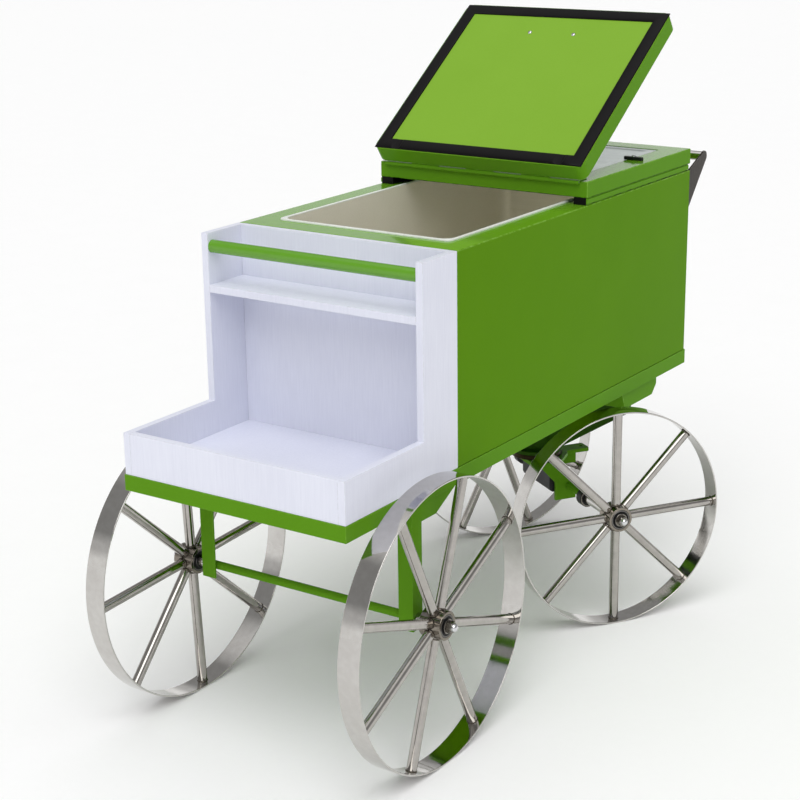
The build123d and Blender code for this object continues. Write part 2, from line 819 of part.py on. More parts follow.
with BuildPart() as button_screw:
    head_z = cover_top + 2 * end_play + button_thick
    shank = upright(button_x, button_y, head_z - button_screw_length)
    rod(shank, button_screw_radius, button_screw_length)
    rod(upright(button_x, button_y, head_z), button_screw_head, button_screw_head_thick)
    head_edges = button_screw.faces().sort_by(Axis.Z)[-1].edges()
    fillet(head_edges, radius=button_screw_head_thick / 2)
save(button_screw, "button_screw")

# Hinge: two leaves on top of the cover and the lid, with knuckles on one pin

hinge_length = box_width - 2 * hinge_margin
knuckle_pitch = hinge_length / knuckle_count
leaf_relief = knuckle_radius + leaf_room


def hinge_leaf(plane, plate_z, rearward, first):
    """Leaf on one side of the hinge line, with every second knuckle from the first."""
    bottom = (Align.CENTER, Align.CENTER, Align.MIN)
    knuckle_length = knuckle_pitch - knuckle_gap
    knuckle_places = [
        ((index + 0.5) * knuckle_pitch - hinge_length / 2, 0)
        for index in range(first, knuckle_count, 2)
    ]
    with Locations(plane.offset(plate_z)):
        with Locations((0, rearward * (leaf_width + leaf_relief) / 2)):
            Box(hinge_length, leaf_width - leaf_relief, leaf_thick, align=bottom)
        with Locations((0, rearward * leaf_width / 4)):
            with Locations(*knuckle_places):
                Box(knuckle_length, leaf_width / 2, leaf_thick, align=bottom)
    with Locations(plane):
        with Locations(*knuckle_places):
            Cylinder(knuckle_radius, knuckle_length, rotation=(0, 90, 0))
        bore_radius = hinge_pin_radius + running_fit
        Cylinder(bore_radius, hinge_length, rotation=(0, 90, 0), mode=Mode.SUBTRACT)


hinge_plane = upright(0, hinge_y, hinge_z)
with BuildPart() as hinge_leaf_cover:
    hinge_leaf(hinge_plane, hinge_sink, 1, 0)
save(hinge_leaf_cover, "hinge_leaf_cover")

with BuildPart() as hinge_leaf_lid:
    hinge_leaf(lid_frame, -hinge_rise, -1, 1)
save(hinge_leaf_lid, "hinge_leaf_lid")

with BuildPart() as hinge_pin:
    rod(axle_plane(-hinge_length / 2, hinge_y, hinge_z), hinge_pin_radius, hinge_length)
save(hinge_pin, "hinge_pin")

# Lid: a green pan round a foam core, closed by an inner panel that carries the gasket

lid_front = lid_front_y - hinge_y
lid_back = -lid_back_gap
lid_length = lid_back - lid_front
lid_middle = (lid_front + lid_back) / 2
lid_outer = -hinge_rise
lid_inner = lid_outer - lid_thick
core_width = box_width - 2 * lid_sheet - 2 * core_gap
core_length = lid_length - 2 * lid_sheet - 2 * core_gap
core_corner = lid_corner - lid_sheet - core_gap
pull_y = lid_front + pull_setback
pull_places = ((-pull_centres / 2, pull_y), (pull_centres / 2, pull_y))
screw_clear = screw_radius + hole_fit

with BuildPart() as lid_pan:
    with BuildSketch(lid_frame.offset(lid_inner)):
        with Locations((0, lid_middle)):
            RectangleRounded(box_width, lid_length, lid_corner)
    extrude(amount=lid_thick)
    with BuildSketch(lid_frame.offset(lid_inner)):
        with Locations((0, lid_middle)):
            RectangleRounded(box_width - 2 * lid_sheet, lid_length - 2 * lid_sheet,
                             lid_corner - lid_sheet)
    extrude(amount=lid_thick - lid_sheet, mode=Mode.SUBTRACT)
    with BuildSketch(lid_frame.offset(lid_outer - lid_sheet)):
        with Locations(*pull_places):
            Circle(screw_clear)
    extrude(amount=lid_sheet, mode=Mode.SUBTRACT)
save(lid_pan, "lid_pan")

with BuildPart() as lid_core:
    with BuildSketch(lid_frame.offset(lid_inner + lid_panel_sheet)):
        with Locations((0, lid_middle)):
            RectangleRounded(core_width, core_length, core_corner)
        with Locations(*pull_places):
            Circle(screw_clear, mode=Mode.SUBTRACT)
    extrude(amount=lid_thick - lid_sheet - lid_panel_sheet)
save(lid_core, "lid_core")

with BuildPart() as lid_panel:
    with BuildSketch(lid_frame.offset(lid_inner)):
        with Locations((0, lid_middle)):
            RectangleRounded(core_width, core_length, core_corner)
        with Locations(*pull_places):
            Circle(screw_clear, mode=Mode.SUBTRACT)
    extrude(amount=lid_panel_sheet)
save(lid_panel, "lid_panel")

gasket_width = box_width - 2 * gasket_inset
gasket_length = lid_length - 2 * gasket_inset
notch_height = lip_raise + lip_notch_gap - gasket_rest
with BuildPart() as lid_gasket:
    with BuildSketch(lid_frame.offset(lid_inner - gasket_thick)):
        with Locations((0, lid_middle)):
            RectangleRounded(gasket_width, gasket_length, gasket_corner)
            RectangleRounded(gasket_width - 2 * seal_width, gasket_length - 2 * seal_width,
                             gasket_corner, mode=Mode.SUBTRACT)
    extrude(amount=gasket_thick)
    with BuildSketch(lid_frame.offset(lid_inner - gasket_thick)):
        notch_x = lip_half - lip_width / 2
        with Locations((-notch_x, lid_back - seal_width / 2), (notch_x, lid_back - seal_width / 2)):
            Rectangle(lip_width + 2 * lip_notch_gap, 2 * seal_width)
    extrude(amount=notch_height, mode=Mode.SUBTRACT)
save(lid_gasket, "lid_gasket")

with BuildPart() as lid_handle:
    pull_plane = Plane(
        origin=lid_frame.from_local_coords((0, pull_y, lid_outer)),
        x_dir=lid_frame.x_dir,
        z_dir=-lid_frame.y_dir,
    )
    half_pull = pull_centres / 2
    bar_rise = pull_rise - pull_radius
    with BuildLine(pull_plane):
        FilletPolyline((-half_pull, 0), (-half_pull, bar_rise), (half_pull, bar_rise), (half_pull, 0),
                       radius=pull_bend)
    with BuildSketch(lid_frame.offset(lid_outer)):
        with Locations(pull_places[0]):
            Circle(pull_radius)
    sweep()
    with BuildSketch(lid_frame.offset(lid_outer)):
        with Locations(*pull_places):
            Circle(pull_foot_radius)
    extrude(amount=pull_foot_thick)
    with BuildSketch(lid_frame.offset(lid_outer)):
        with Locations(*pull_places):
            Circle(screw_radius + running_fit)
    extrude(amount=pull_bore_depth, mode=Mode.SUBTRACT)
save(lid_handle, "lid_handle")

with BuildPart() as lid_screws:
    with BuildSketch(lid_frame.offset(lid_inner - screw_head_thick)):
        with Locations(*pull_places):
            Circle(screw_head_radius)
    extrude(amount=screw_head_thick)
    with BuildSketch(lid_frame.offset(lid_inner)):
        with Locations(*pull_places):
            Circle(screw_radius)
    extrude(amount=lid_thick + pull_bore_depth - end_play)
save(lid_screws, "lid_screws")

# Serving unit: white boards with a tray in front, a shelf above and a guard rail

unit_inside = box_half - board_thick
unit_sides_outline = (
    (-tray_depth, box_bottom),
    (-tray_depth, box_bottom + tray_wall),
    (-unit_depth, box_bottom + tray_wall),
    (-unit_depth, deck),
    (0, deck),
    (0, box_bottom),
)
with BuildPart() as unit_sides:
    with BuildSketch(side(unit_inside)):
        Polygon(*unit_sides_outline, align=None)
    extrude(amount=board_thick)
    mirror(about=side(0))
save(unit_sides, "unit_sides")

unit_x = (-unit_inside, unit_inside)
floor_top = box_bottom + board_thick
shelf_top = deck - shelf_drop
front_y = (-tray_depth, board_thick - tray_depth)
boards = (
    ("unit_back", (-back_thick, 0), (box_bottom, deck)),
    ("unit_floor", (front_y[1], -back_thick), (box_bottom, floor_top)),
    ("unit_front", front_y, (box_bottom, box_bottom + tray_wall)),
    ("unit_shelf", (-unit_depth, -back_thick), (shelf_top - board_thick, shelf_top)),
)
for board_name, board_y, board_z in boards:
    with BuildPart() as board:
        block(unit_x, board_y, board_z)
    save(board, board_name)

with BuildPart() as glass_rail:
    rail_start = axle_plane(-unit_inside, glass_rail_inset - unit_depth, deck - glass_rail_drop)
    rod(rail_start, rail_radius, 2 * unit_inside)
    rod(rail_start, rail_radius - rail_tube_wall, 2 * unit_inside, Mode.SUBTRACT)
save(glass_rail, "glass_rail")

# Push handle: a polished tube between two tapered blades with bolted feet on the box

handle_y = box_length + handle_reach
handle_z = deck + handle_rise
blade_out = box_half - blade_inset
blade_in = blade_out - blade_thick
foot_z = (deck - foot_low, deck - foot_high)
with BuildPart() as handle_brackets:
    with BuildSketch(side(blade_in)):
        with Locations((handle_y, handle_z)):
            Circle(blade_tip)
        with Locations((box_length + blade_thick / 2, (foot_z[0] + foot_z[1]) / 2)):
            Rectangle(blade_thick, foot_z[1] - foot_z[0])
        make_hull()
    extrude(amount=blade_thick)
    block((blade_out - foot_width, blade_out), (box_length, box_length + blade_thick), foot_z)
    mirror(about=side(0))
save(handle_brackets, "handle_brackets")

with BuildPart() as handle_tube:
    tube_start = axle_plane(-blade_in, handle_y, handle_z)
    rod(tube_start, handle_radius, 2 * blade_in)
    rod(tube_start, handle_radius - handle_wall, 2 * blade_in, Mode.SUBTRACT)
save(handle_tube, "handle_tube")
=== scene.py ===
import json
from math import cos, pi, radians, sin, tau
import bmesh
import bpy
from mathutils import Matrix, Vector

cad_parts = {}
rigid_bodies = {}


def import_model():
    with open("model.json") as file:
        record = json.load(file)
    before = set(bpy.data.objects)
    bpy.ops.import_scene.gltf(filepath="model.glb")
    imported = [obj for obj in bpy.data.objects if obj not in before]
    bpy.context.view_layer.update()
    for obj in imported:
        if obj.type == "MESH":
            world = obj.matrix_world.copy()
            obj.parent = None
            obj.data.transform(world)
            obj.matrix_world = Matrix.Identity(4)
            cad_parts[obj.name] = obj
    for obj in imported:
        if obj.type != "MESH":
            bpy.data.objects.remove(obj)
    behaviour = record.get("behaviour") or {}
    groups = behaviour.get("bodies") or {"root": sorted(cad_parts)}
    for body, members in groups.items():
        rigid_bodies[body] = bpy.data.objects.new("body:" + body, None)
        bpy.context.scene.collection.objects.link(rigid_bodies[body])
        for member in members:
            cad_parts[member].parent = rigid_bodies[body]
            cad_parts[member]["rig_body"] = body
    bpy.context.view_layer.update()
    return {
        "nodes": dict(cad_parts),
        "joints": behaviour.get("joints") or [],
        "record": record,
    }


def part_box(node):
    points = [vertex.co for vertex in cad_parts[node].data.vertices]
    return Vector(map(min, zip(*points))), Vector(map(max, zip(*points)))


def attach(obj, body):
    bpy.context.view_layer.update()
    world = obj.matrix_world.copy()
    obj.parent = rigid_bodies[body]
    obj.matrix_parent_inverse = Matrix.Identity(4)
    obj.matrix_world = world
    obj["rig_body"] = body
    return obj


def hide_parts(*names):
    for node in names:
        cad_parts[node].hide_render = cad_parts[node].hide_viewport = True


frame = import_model()

# Base frame: square steel tube cut and welded into a ladder under the box and the serving unit.
# The welds are ground flush, the rear corners are clipped and weep holes are drilled from below.
# The whole ladder is powder coated green.
nodes = frame["nodes"]
slot_of = {row["node"]: row["material_slot"] for row in frame["record"]["subparts"]}
box_low, box_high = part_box("box_shell")
middle_x = (box_low.x + box_high.x) / 2
MM = 0.001


def spot(x, y, z):
    """Point in millimetres across, along and up the cart, from the box's front on the floor."""
    return Vector((middle_x + x * MM, box_low.y + y * MM, z * MM))


def skin(bm, rings, shut=False, marks=None):
    """Surface over a row of rings of equal count; it closes on itself, or its two ends are capped.

    Marks are the heat that the metal at each point of each ring has seen, from 0 to 1.
    """
    heat = bm.verts.layers.float.get("heat") or bm.verts.layers.float.new("heat")
    rows = [[bm.verts.new(point) for point in ring] for ring in rings]
    for row, levels in zip(rows, marks or []):
        for vert, level in zip(row, levels):
            vert[heat] = level
    faces = []
    for low, high in zip(rows, rows[1:] + (rows[:1] if shut else [])):
        for i in range(len(low)):
            j = (i + 1) % len(low)
            faces.append(bm.faces.new((low[i], low[j], high[j], high[i])))
    if not shut:
        faces += [bm.faces.new(rows[0]), bm.faces.new(rows[-1])]
    bmesh.ops.recalc_face_normals(bm, faces=faces)


def ease(bm, radius, steps=3, corner=40):
    """Round the sharp corners of a piece, and mark the rounded faces as edges that take a lighter
    colour: wear, and on the green paint also a painted highlight.
    """
    mark = bm.faces.layers.float.get("edge") or bm.faces.layers.float.new("edge")
    sharp = [e for e in bm.edges if e.is_manifold and e.calc_face_angle() > radians(corner)]
    rounded = bmesh.ops.bevel(bm, geom=sharp, offset=radius * MM, offset_type="OFFSET",
                              segments=steps, profile=0.5, affect="EDGES", clamp_overlap=True)
    for face in rounded["faces"]:
        face[mark] = 1
    return bm


def made(name, bm, look, *stands_for, body=None, slot=None, crease=40):
    """Finished piece from its mesh, on the body of the drawn pieces it stands for; the slot is not
    used.
    """
    mesh = bpy.data.meshes.new(name)
    bm.to_mesh(mesh)
    bm.free()
    mesh.shade_smooth()
    mesh.set_sharp_from_angle(angle=radians(crease))
    mesh.materials.append(look)
    piece = bpy.data.objects.new(name, mesh)
    bpy.context.scene.collection.objects.link(piece)
    even = piece.modifiers.new("even_faces", "WEIGHTED_NORMAL")
    even.keep_sharp = True
    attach(piece, body or nodes[stands_for[0]]["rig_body"])
    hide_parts(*stands_for)
    return piece


def tone(code):
    """Linear colour of a sample given as a web colour."""
    parts = [int(code[i:i + 2], 16) / 255 for i in (0, 2, 4)]
    return [c / 12.92 if c <= 0.04045 else ((c + 0.055) / 1.055) ** 2.4 for c in parts] + [1]


def finish(name, main, shift, rough, grain, marks=(), metal=0.0, shine=0.3, glossy_lit_top=None,
           stretch=(1, 1, 1)):
    """Material with uneven colour and gloss, a fine grain, and marks: wear, heat tint, painted
    highlight and painted shade.

    Grain is the number of grains to a metre and their height in millimetres. A mark is a value
    on the mesh, the colour that it brings, and how much of it. The glossy lit top is the weight and
    the roughness of a top's gloss coat, and the top's lighter colour, which is painted light.
    """
    clouds, patch_scale = 6, 70
    mottle_span, patch_span, gloss_span = (0.75, 1.25), (0.4, 0.6), (0.1, 0.45)
    material = bpy.data.materials.new(name)
    material.use_nodes = True
    tree = material.node_tree
    shader = tree.nodes["Principled BSDF"]

    def lay(kind, inputs, **settings):
        node = tree.nodes.new("ShaderNode" + kind)
        for key, value in settings.items():
            setattr(node, key, value)
        for key, value in inputs.items():
            if isinstance(value, bpy.types.NodeSocket):
                tree.links.new(value, node.inputs[key])
            else:
                node.inputs[key].default_value = value
        return node.outputs

    def times(first, second):
        return lay("Math", {0: first, 1: second}, operation="MULTIPLY")[0]

    def spread(value, span, low=0, high=1):
        return lay("MapRange", {"Value": value, "From Min": span[0], "From Max": span[1],
                                "To Min": low, "To Max": high})[0]

    def over(under, share, code):
        return lay("Mix", {0: share, 6: under, 7: tone(code)}, data_type="RGBA")[2]

    place = lay("TexCoord", {})["Object"]
    drawn = lay("Mapping", {"Vector": place, "Scale": stretch})[0]
    cloud = lay("TexNoise", {"Vector": place, "Scale": clouds, "Detail": 5})[0]
    patch_noise = lay("TexNoise", {"Vector": place, "Scale": patch_scale, "Detail": 6, "Roughness": 0.7})[0]
    fine = lay("TexNoise", {"Vector": drawn, "Scale": grain[0], "Detail": 3})[0]
    mottle = lay("Math", {0: cloud, 1: fine})[0]
    colour = over(tone(main), spread(mottle, mottle_span), shift)
    if glossy_lit_top:
        weight, coat_rough, lit_top_colour = glossy_lit_top
        top = lay("Attribute", {}, attribute_name="glossy_lit_top")["Fac"]
        # A top takes a lighter colour, painted light from above, under its gloss coat.
        colour = over(colour, top, lit_top_colour)
        tree.links.new(times(top, weight), shader.inputs["Coat Weight"])
        shader.inputs["Coat Roughness"].default_value = coat_rough
    # Marks bring wear and heat tint, and on the green paint a painted highlight on upper bends and
    # painted shade in grooves and on lower bends.
    for mark, mark_colour, reach in marks:
        here = lay("Attribute", {}, attribute_name=mark)["Fac"]
        mark_share = spread(patch_noise, patch_span, high=reach)
        colour = over(colour, times(here, mark_share), mark_colour)
    gloss = spread(times(patch_noise, fine), gloss_span, *rough)
    relief = lay("Bump", {"Height": fine, "Distance": grain[1] * MM})[0]
    for socket, value in (("Base Color", colour), ("Roughness", gloss), ("Normal", relief)):
        tree.links.new(value, shader.inputs[socket])
    shader.inputs["Metallic"].default_value = metal
    shader.inputs["Specular IOR Level"].default_value = shine
    return material


paint_rough, paint_grain, paint_shine = (0.2, 0.28), (420, 0.004), 0.02
# Green paint marks: a lighter edge colour, partly wear and partly a painted highlight, and a dark
# green painted shade in grooves and on lower bends. A top takes a gloss coat and a lighter, painted
# colour.
paint_wear_and_painted_light = [("edge", "8fba58", 0.6), ("painted_shade", "1c3606", 1)]
top_gloss_and_lit_colour = (0.7, 0.06, "68a01c")
green_coat = finish("green_powder_coat", "5c901e", "598c1a", paint_rough, paint_grain, paint_wear_and_painted_light,
                    shine=paint_shine, glossy_lit_top=top_gloss_and_lit_colour)
frame_half, frame_front, frame_rear = 302, -427, 1158
rail_bottom, rail_top = 595, 632
tube_wide, tube_corner = 30, 2.4
rear_clip, inner_clip = 12, 1
weep_radius, weep_depth = 4, 12


def clipped(half, front, rear, clip):
    """Outline of the ladder, across and along the cart, with its rear corners clipped."""
    return ((-half, front), (half, front), (half, rear - clip), (half - clip, rear),
            (clip - half, rear), (-half, rear - clip))


frame_in, tube_half = frame_half - tube_wide, tube_wide / 2
outside = clipped(frame_half, frame_front, frame_rear, rear_clip)
inside = clipped(frame_in, frame_front + tube_wide, frame_rear - tube_wide, inner_clip)
walls = ((outside, rail_bottom), (outside, rail_top), (inside, rail_top), (inside, rail_bottom))
rung = ((-frame_in, -tube_half), (frame_in, -tube_half), (frame_in, tube_half),
        (-frame_in, tube_half))
bm = bmesh.new()
skin(bm, [[spot(x, y, z) for x, y in outline] for outline, z in walls], shut=True)
skin(bm, [[spot(x, y, z) for x, y in rung] for z in (rail_bottom, rail_top)])
base_frame = made("base_frame", ease(bm, tube_corner), green_coat, "base_rails")


def drill(piece, places, radius, depth, start=-2, count=24):
    """Drill upward holes into a finished piece from places on its underside."""
    bm = bmesh.new()
    angles = [tau * i / count for i in range(count)]
    for point in places:
        skin(bm, [[point + Vector((radius * cos(a), radius * sin(a), rise)) * MM for a in angles]
                  for rise in (start, depth)])
    mesh = bpy.data.meshes.new("drill")
    bm.to_mesh(mesh)
    bm.free()
    bit = bpy.data.objects.new("drill", mesh)
    bpy.context.scene.collection.objects.link(bit)
    cut = piece.modifiers.new("cut", "BOOLEAN")
    cut.operation = "DIFFERENCE"
    cut.object = bit
    while piece.modifiers[0] != cut:
        piece.modifiers.move(len(piece.modifiers) - 1, 0)
    even = piece.modifiers.get("even_faces")
    even.show_viewport = False
    bpy.context.view_layer.update()
    seen = piece.evaluated_get(bpy.context.evaluated_depsgraph_get())
    drilled = bpy.data.meshes.new_from_object(seen)
    drilled.name = piece.name
    piece.modifiers.remove(cut)
    piece.data = drilled
    even.show_viewport = True
    bpy.data.objects.remove(bit)
    bpy.data.meshes.remove(mesh)


weep_side, weep_along = frame_half - tube_half, (frame_front + frame_rear) / 2
weep_places = ((0, 0), (-weep_side, weep_along), (weep_side, weep_along),
               (0, frame_front + tube_half), (0, frame_rear - tube_half))
drill(base_frame, [spot(x, y, rail_bottom) for x, y in weep_places], weep_radius, weep_depth)

# Cross beam and steering post: a folded box section under the base carries a turned post with a
# wide foot and a cut brace plate on each side. They are welded steel in the same green coat; the
# post and the plates are coloured a darker green, painted shade under the box.
under_coat_painted_shade = finish("green_painted_shade_under_box", "33590f", "2a4a0c", (0.45, 0.6), (420, 0.02),
                    [("edge", "55782c", 0.5)], shine=0.05)
beam_edge, plate_edge = 1.4, 0.8
foot_low, foot_high, head_low, post_top = 375, 385, 542, 550
post_bore, post_radius, foot_radius, head_radius = 20, 38, 70, 50
broken, fillet = 1, 6
weld_gap = 0.2
brace_inset, brace_foot_inset, brace_lip, brace_half = 12, 4, 25, 3


def copy_of(*names):
    """Mesh of drawn pieces, with their flat faces made whole."""
    bm = bmesh.new()
    for name in names:
        bm.from_mesh(nodes[name].data)
    bmesh.ops.remove_doubles(bm, verts=bm.verts, dist=2e-6)
    bmesh.ops.dissolve_limit(bm, angle_limit=radians(0.4), verts=bm.verts, edges=bm.edges)
    return bm


def bench(point, axis, up=(0, 0, 1)):
    """Place to turn a piece on, in millimetres: Z runs along its axis and Y is up."""
    along = Vector(axis).normalized()
    back = Vector(up).cross(along).normalized()
    turned = Matrix((back, along.cross(back), along)).transposed().to_4x4()
    return Matrix.Translation(point) @ turned @ Matrix.Scale(MM, 4)


def upright(point):
    """Place to turn a piece on that stands on a point."""
    return bench(point, (0, 0, 1), (0, 1, 0))


def turn(bm, profile, place, shut=False, count=64, marks=()):
    """Turned piece from radius and distance along its axis.

    A radius may go by the angle, and so may a mark, which is the heat at a point of the profile.
    """
    angles = [tau * i / count for i in range(count)]

    def round_about(value):
        return [value(a) if callable(value) else value for a in angles]

    rings = []
    for radius, along in profile:
        ring = zip(round_about(radius), angles)
        rings.append([place @ Vector((r * cos(a), r * sin(a), along)) for r, a in ring])
    skin(bm, rings, shut, [round_about(mark) for mark in marks])


def joint_place(name):
    """Point on the axis of a joint."""
    return Vector(next(joint for joint in frame["joints"] if joint["name"] == name)["pos_m"])


made("cross_beam", ease(copy_of("bolster"), beam_edge), green_coat, "bolster")
king = joint_place("steering")
king.z = 0
post = upright(king)
post_foot = (
    (post_bore, foot_low), (foot_radius - broken, foot_low), (foot_radius, foot_low + broken),
    (foot_radius, foot_high - broken), (foot_radius - broken, foot_high),
    (post_radius + fillet, foot_high), (post_radius + fillet / 3, foot_high + fillet / 3),
    (post_radius, foot_high + fillet))
post_head = (
    (post_radius, head_low - fillet), (post_radius + fillet / 3, head_low - fillet / 3),
    (post_radius + fillet, head_low), (head_radius - broken, head_low),
    (head_radius, head_low + broken), (head_radius, post_top), (post_bore, post_top))
bm = bmesh.new()
turn(bm, post_foot + post_head, post, shut=True)
made("steering_tube", bm, under_coat_painted_shade, "steering_post")
brace_in, brace_under_head = post_radius + weld_gap, head_radius + weld_gap
brace_out = (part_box("bolster")[1].x - king.x) / MM - brace_inset
brace = (
    (brace_in, foot_high + weld_gap), (foot_radius - brace_foot_inset, foot_high + weld_gap),
    (brace_out, post_top - brace_lip), (brace_out, post_top), (brace_under_head, post_top),
    (brace_under_head, head_low - weld_gap), (brace_in, head_low - weld_gap))
bm = bmesh.new()
for side in (-1, 1):
    skin(bm, [[king + Vector((side * x, y, z)) * MM for x, z in brace]
              for y in (-brace_half, brace_half)])
made("steering_braces", ease(bm, plate_edge), under_coat_painted_shade, body="cart", slot="green_paint")

# Steering bearing: two bronze bushes and a thrust ring, with a steel kingpin and its locknut. They
# are turned parts, hidden in the post; the bronze is coloured dark, painted shade under the box.
bronze = finish("bronze_painted_dark", "352d1c", "262015", (0.25, 0.45), (300, 0.02), metal=1.0)
zinc = finish("zinc_plate", "a9adad", "8f9494", (0.25, 0.42), (500, 0.015),
              [("edge", "d2d4d2", 0.6)], metal=1.0)
king_radius, king_fit, bush_long = 15, 15.1, 30
ring_bore, ring_low, chamfer = 45, 362.3, 0.6
flange_radius, flange_low, flange_top = 38, 362, 370
king_top, king_chamfer = 570.3, 1.3
locknut_low, locknut_top, locknut_corner, locknut_face = 553.3, 568.3, 24, 21
bm = bmesh.new()
for low, high in ((foot_low, foot_low + bush_long), (post_top - bush_long, post_top)):
    bush = ((king_fit, low), (post_bore, low), (post_bore, high), (king_fit, high))
    turn(bm, bush, post, shut=True)
thrust_ring = (
    (ring_bore, ring_low), (foot_radius - chamfer, ring_low), (foot_radius, ring_low + chamfer),
    (foot_radius, foot_low - chamfer), (foot_radius - chamfer, foot_low), (ring_bore, foot_low))
turn(bm, thrust_ring, post, shut=True)
made("bushes", bm, bronze, "steering_bushes")
kingpin = (
    (flange_radius - chamfer, flange_low), (flange_radius, flange_low + chamfer),
    (flange_radius, flange_top - broken), (flange_radius - broken, flange_top),
    (king_radius, flange_top), (king_radius, king_top - king_chamfer),
    (king_radius - king_chamfer, king_top))
bm = bmesh.new()
turn(bm, kingpin, post)
made("kingpin_turned", bm, zinc, "kingpin")


def hexagon(corner):
    """Radius of a hexagon with that corner, by the angle round it."""
    return lambda a: corner * cos(pi / 6) / cos((a % (pi / 3)) - pi / 6)


locknut = (
    (king_fit, locknut_low), (locknut_face, locknut_low), (hexagon(locknut_corner), 555),
    (hexagon(locknut_corner), 566.5), (locknut_face, locknut_top), (king_fit, locknut_top))
bm = bmesh.new()
turn(bm, locknut, post, shut=True, count=96)
made("kingpin_locknut", bm, zinc, "kingpin_nut")

# Swivel yoke: a thick plate with two cut hangers, a tow lug and its web, welded together and coated
# green. A black bar is fixed between the hangers and stiffens them.
black_coat = finish("black_satin", "17171a", "101012", (0.36, 0.52), (420, 0.03),
                    [("edge", "3a3a3c", 0.7)])
yoke_edge, bar_edge = 1.2, 1.5
made("yoke_weldment", ease(copy_of("swivel_yoke"), yoke_edge), green_coat, "swivel_yoke")
made("yoke_bar", ease(copy_of("yoke_block"), bar_edge), black_coat, "yoke_block")

# Axle collars: turned steel rings in satin black that keep the rear axle in its place. Each is
# clamped by a socket screw and has a bare steel ring in its outer face.
nut_steel = finish("nut_steel", "8e8982", "7a766f", (0.2, 0.34), (300, 0.01),
                   [("edge", "b5b0a8", 0.5)], metal=1.0)
axle_fit = 10.05
collar_in, collar_out, collar_radius, collar_chamfer = 178, 203, 24.5, 1
face_thick, face_in, face_out, face_chamfer = 0.6, 19.6, 23.2, 0.2
collar_screw = ((4, 22), (4, 25.2), (3.5, 25.8), (hexagon(2.2), 25.8), (hexagon(2.2), 24.2))
spin = {j["name"][:-5]: j for j in frame["joints"] if j["name"].endswith("_spin")}


def axle_line(end):
    """Middle and direction of the front or the rear axle."""
    right, left = spin[end + "_right"], spin[end + "_left"]
    return (Vector(right["pos_m"]) + Vector(left["pos_m"])) / 2, Vector(right["axis"])


def both_ends(end):
    """The two places on an axle from which a piece is turned outward."""
    middle, axis = axle_line(end)
    return bench(middle, axis), bench(middle, -axis)


def sleeve(low, high, inner, outer, chamfer):
    """Profile of a tube on an axle, with its outer corners broken."""
    return ((inner, low), (outer - chamfer, low), (outer, low + chamfer), (outer, high - chamfer),
            (outer - chamfer, high), (inner, high))


collar_face = collar_out - face_thick
collar = sleeve(collar_in, collar_face, axle_fit, collar_radius, collar_chamfer)
bare_ring = sleeve(collar_face, collar_out, face_in, face_out, face_chamfer)
screw_at = (Matrix.Translation((0, 0, (collar_in + collar_out) / 2))
            @ Matrix.Rotation(-pi / 2, 4, "X"))
collars = bmesh.new()
bare_rings = bmesh.new()
for place in both_ends("rear"):
    turn(collars, collar, place, shut=True, count=72)
    turn(collars, collar_screw, place @ screw_at, count=24)
    turn(bare_rings, bare_ring, place, shut=True, count=72)
made("axle_collars", collars, black_coat, "rear_collars")
made("axle_collar_rings", bare_rings, nut_steel, body=nodes["rear_collars"]["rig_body"],
     slot=slot_of["rear_collars"])

# Axles: bright round bar, shouldered and threaded at both ends. The middle is coated with the frame
# it is fixed in, and polished sleeves keep the wheels off the frame.
polished = finish("polished_steel", "cccac6", "c2bfbb", (0.05, 0.11), (60, 0.003),
                  [("edge", "d8d6d0", 0.5), ("heat", "2e2820", 0.95)], metal=1.0)
axle_radius, thread_radius, thread_chamfer = 10, 8, 0.8
shoulder, axle_end = 377.3, 391.3
wheel_in, leg_out = 322.7, 300
spacer_radius, spacer_chamfer = 14, 0.6
right_half = [
    (axle_radius, shoulder), (thread_radius, shoulder), (thread_radius, axle_end - thread_chamfer),
    (thread_radius - thread_chamfer, axle_end)]
left_half = [(radius, -along) for radius, along in reversed(right_half)]
for end in ("front", "rear"):
    bm = bmesh.new()
    turn(bm, left_half + right_half, bench(*axle_line(end)))
    made(end + "_axle_bar", bm, green_coat, end + "_axle")
for end, start in (("front", leg_out), ("rear", collar_out)):
    bm = bmesh.new()
    for place in both_ends(end):
        turn(bm, sleeve(start, wheel_in, axle_fit, spacer_radius, spacer_chamfer), place, shut=True)
    made(end + "_spacers_polished", bm, polished, end + "_spacers")

# Axle nuts: hexagon nuts of dull steel, each on a washer, screwed on the threads of the axles to
# keep the wheels on. A pressed and chromed cap closes the end of each nut.
chrome = finish("chrome", "dededf", "cfcfd2", (0.06, 0.14), (120, 0.004),
                [("edge", "e0e0e0", 0.4)], metal=1.0)
washer_radius, washer_thick, washer_chamfer = 17, 3, 0.5
nut_low, nut_top, nut_corner = shoulder + washer_thick, 393.2, 14
cap_radius, cap_rise, cap_step = 10, 0.1, pi / 16
washer_face = washer_radius - washer_chamfer
washer = ((washer_face, shoulder), (washer_radius, shoulder + washer_chamfer),
          (washer_radius, nut_low - washer_chamfer), (washer_face, nut_low))
nut = ((12, nut_low), (hexagon(nut_corner), 381), (hexagon(nut_corner), 391.6), (11.9, nut_top))
cap = [(cap_radius, nut_top)]
cap += [(cap_radius * cos(cap_step * i), nut_top + cap_rise + cap_radius * sin(cap_step * i))
        for i in range(8)]
for end in ("front", "rear"):
    hexes = bmesh.new()
    caps = bmesh.new()
    for place in both_ends(end):
        turn(hexes, washer, place)
        turn(hexes, nut, place, count=96)
        turn(caps, cap, place)
    nuts = end + "_nuts"
    made(nuts + "_hexagon", hexes, nut_steel, nuts)
    made(nuts + "_caps", caps, chrome, body=nodes[nuts]["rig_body"], slot="polished_steel")

# Front legs: angle iron with a side gusset, welded under the base, drilled for the axle and coated
# green with it.
leg_edge = 1.1
made("legs_angle_iron", ease(copy_of("front_legs"), leg_edge), green_coat, "front_legs")

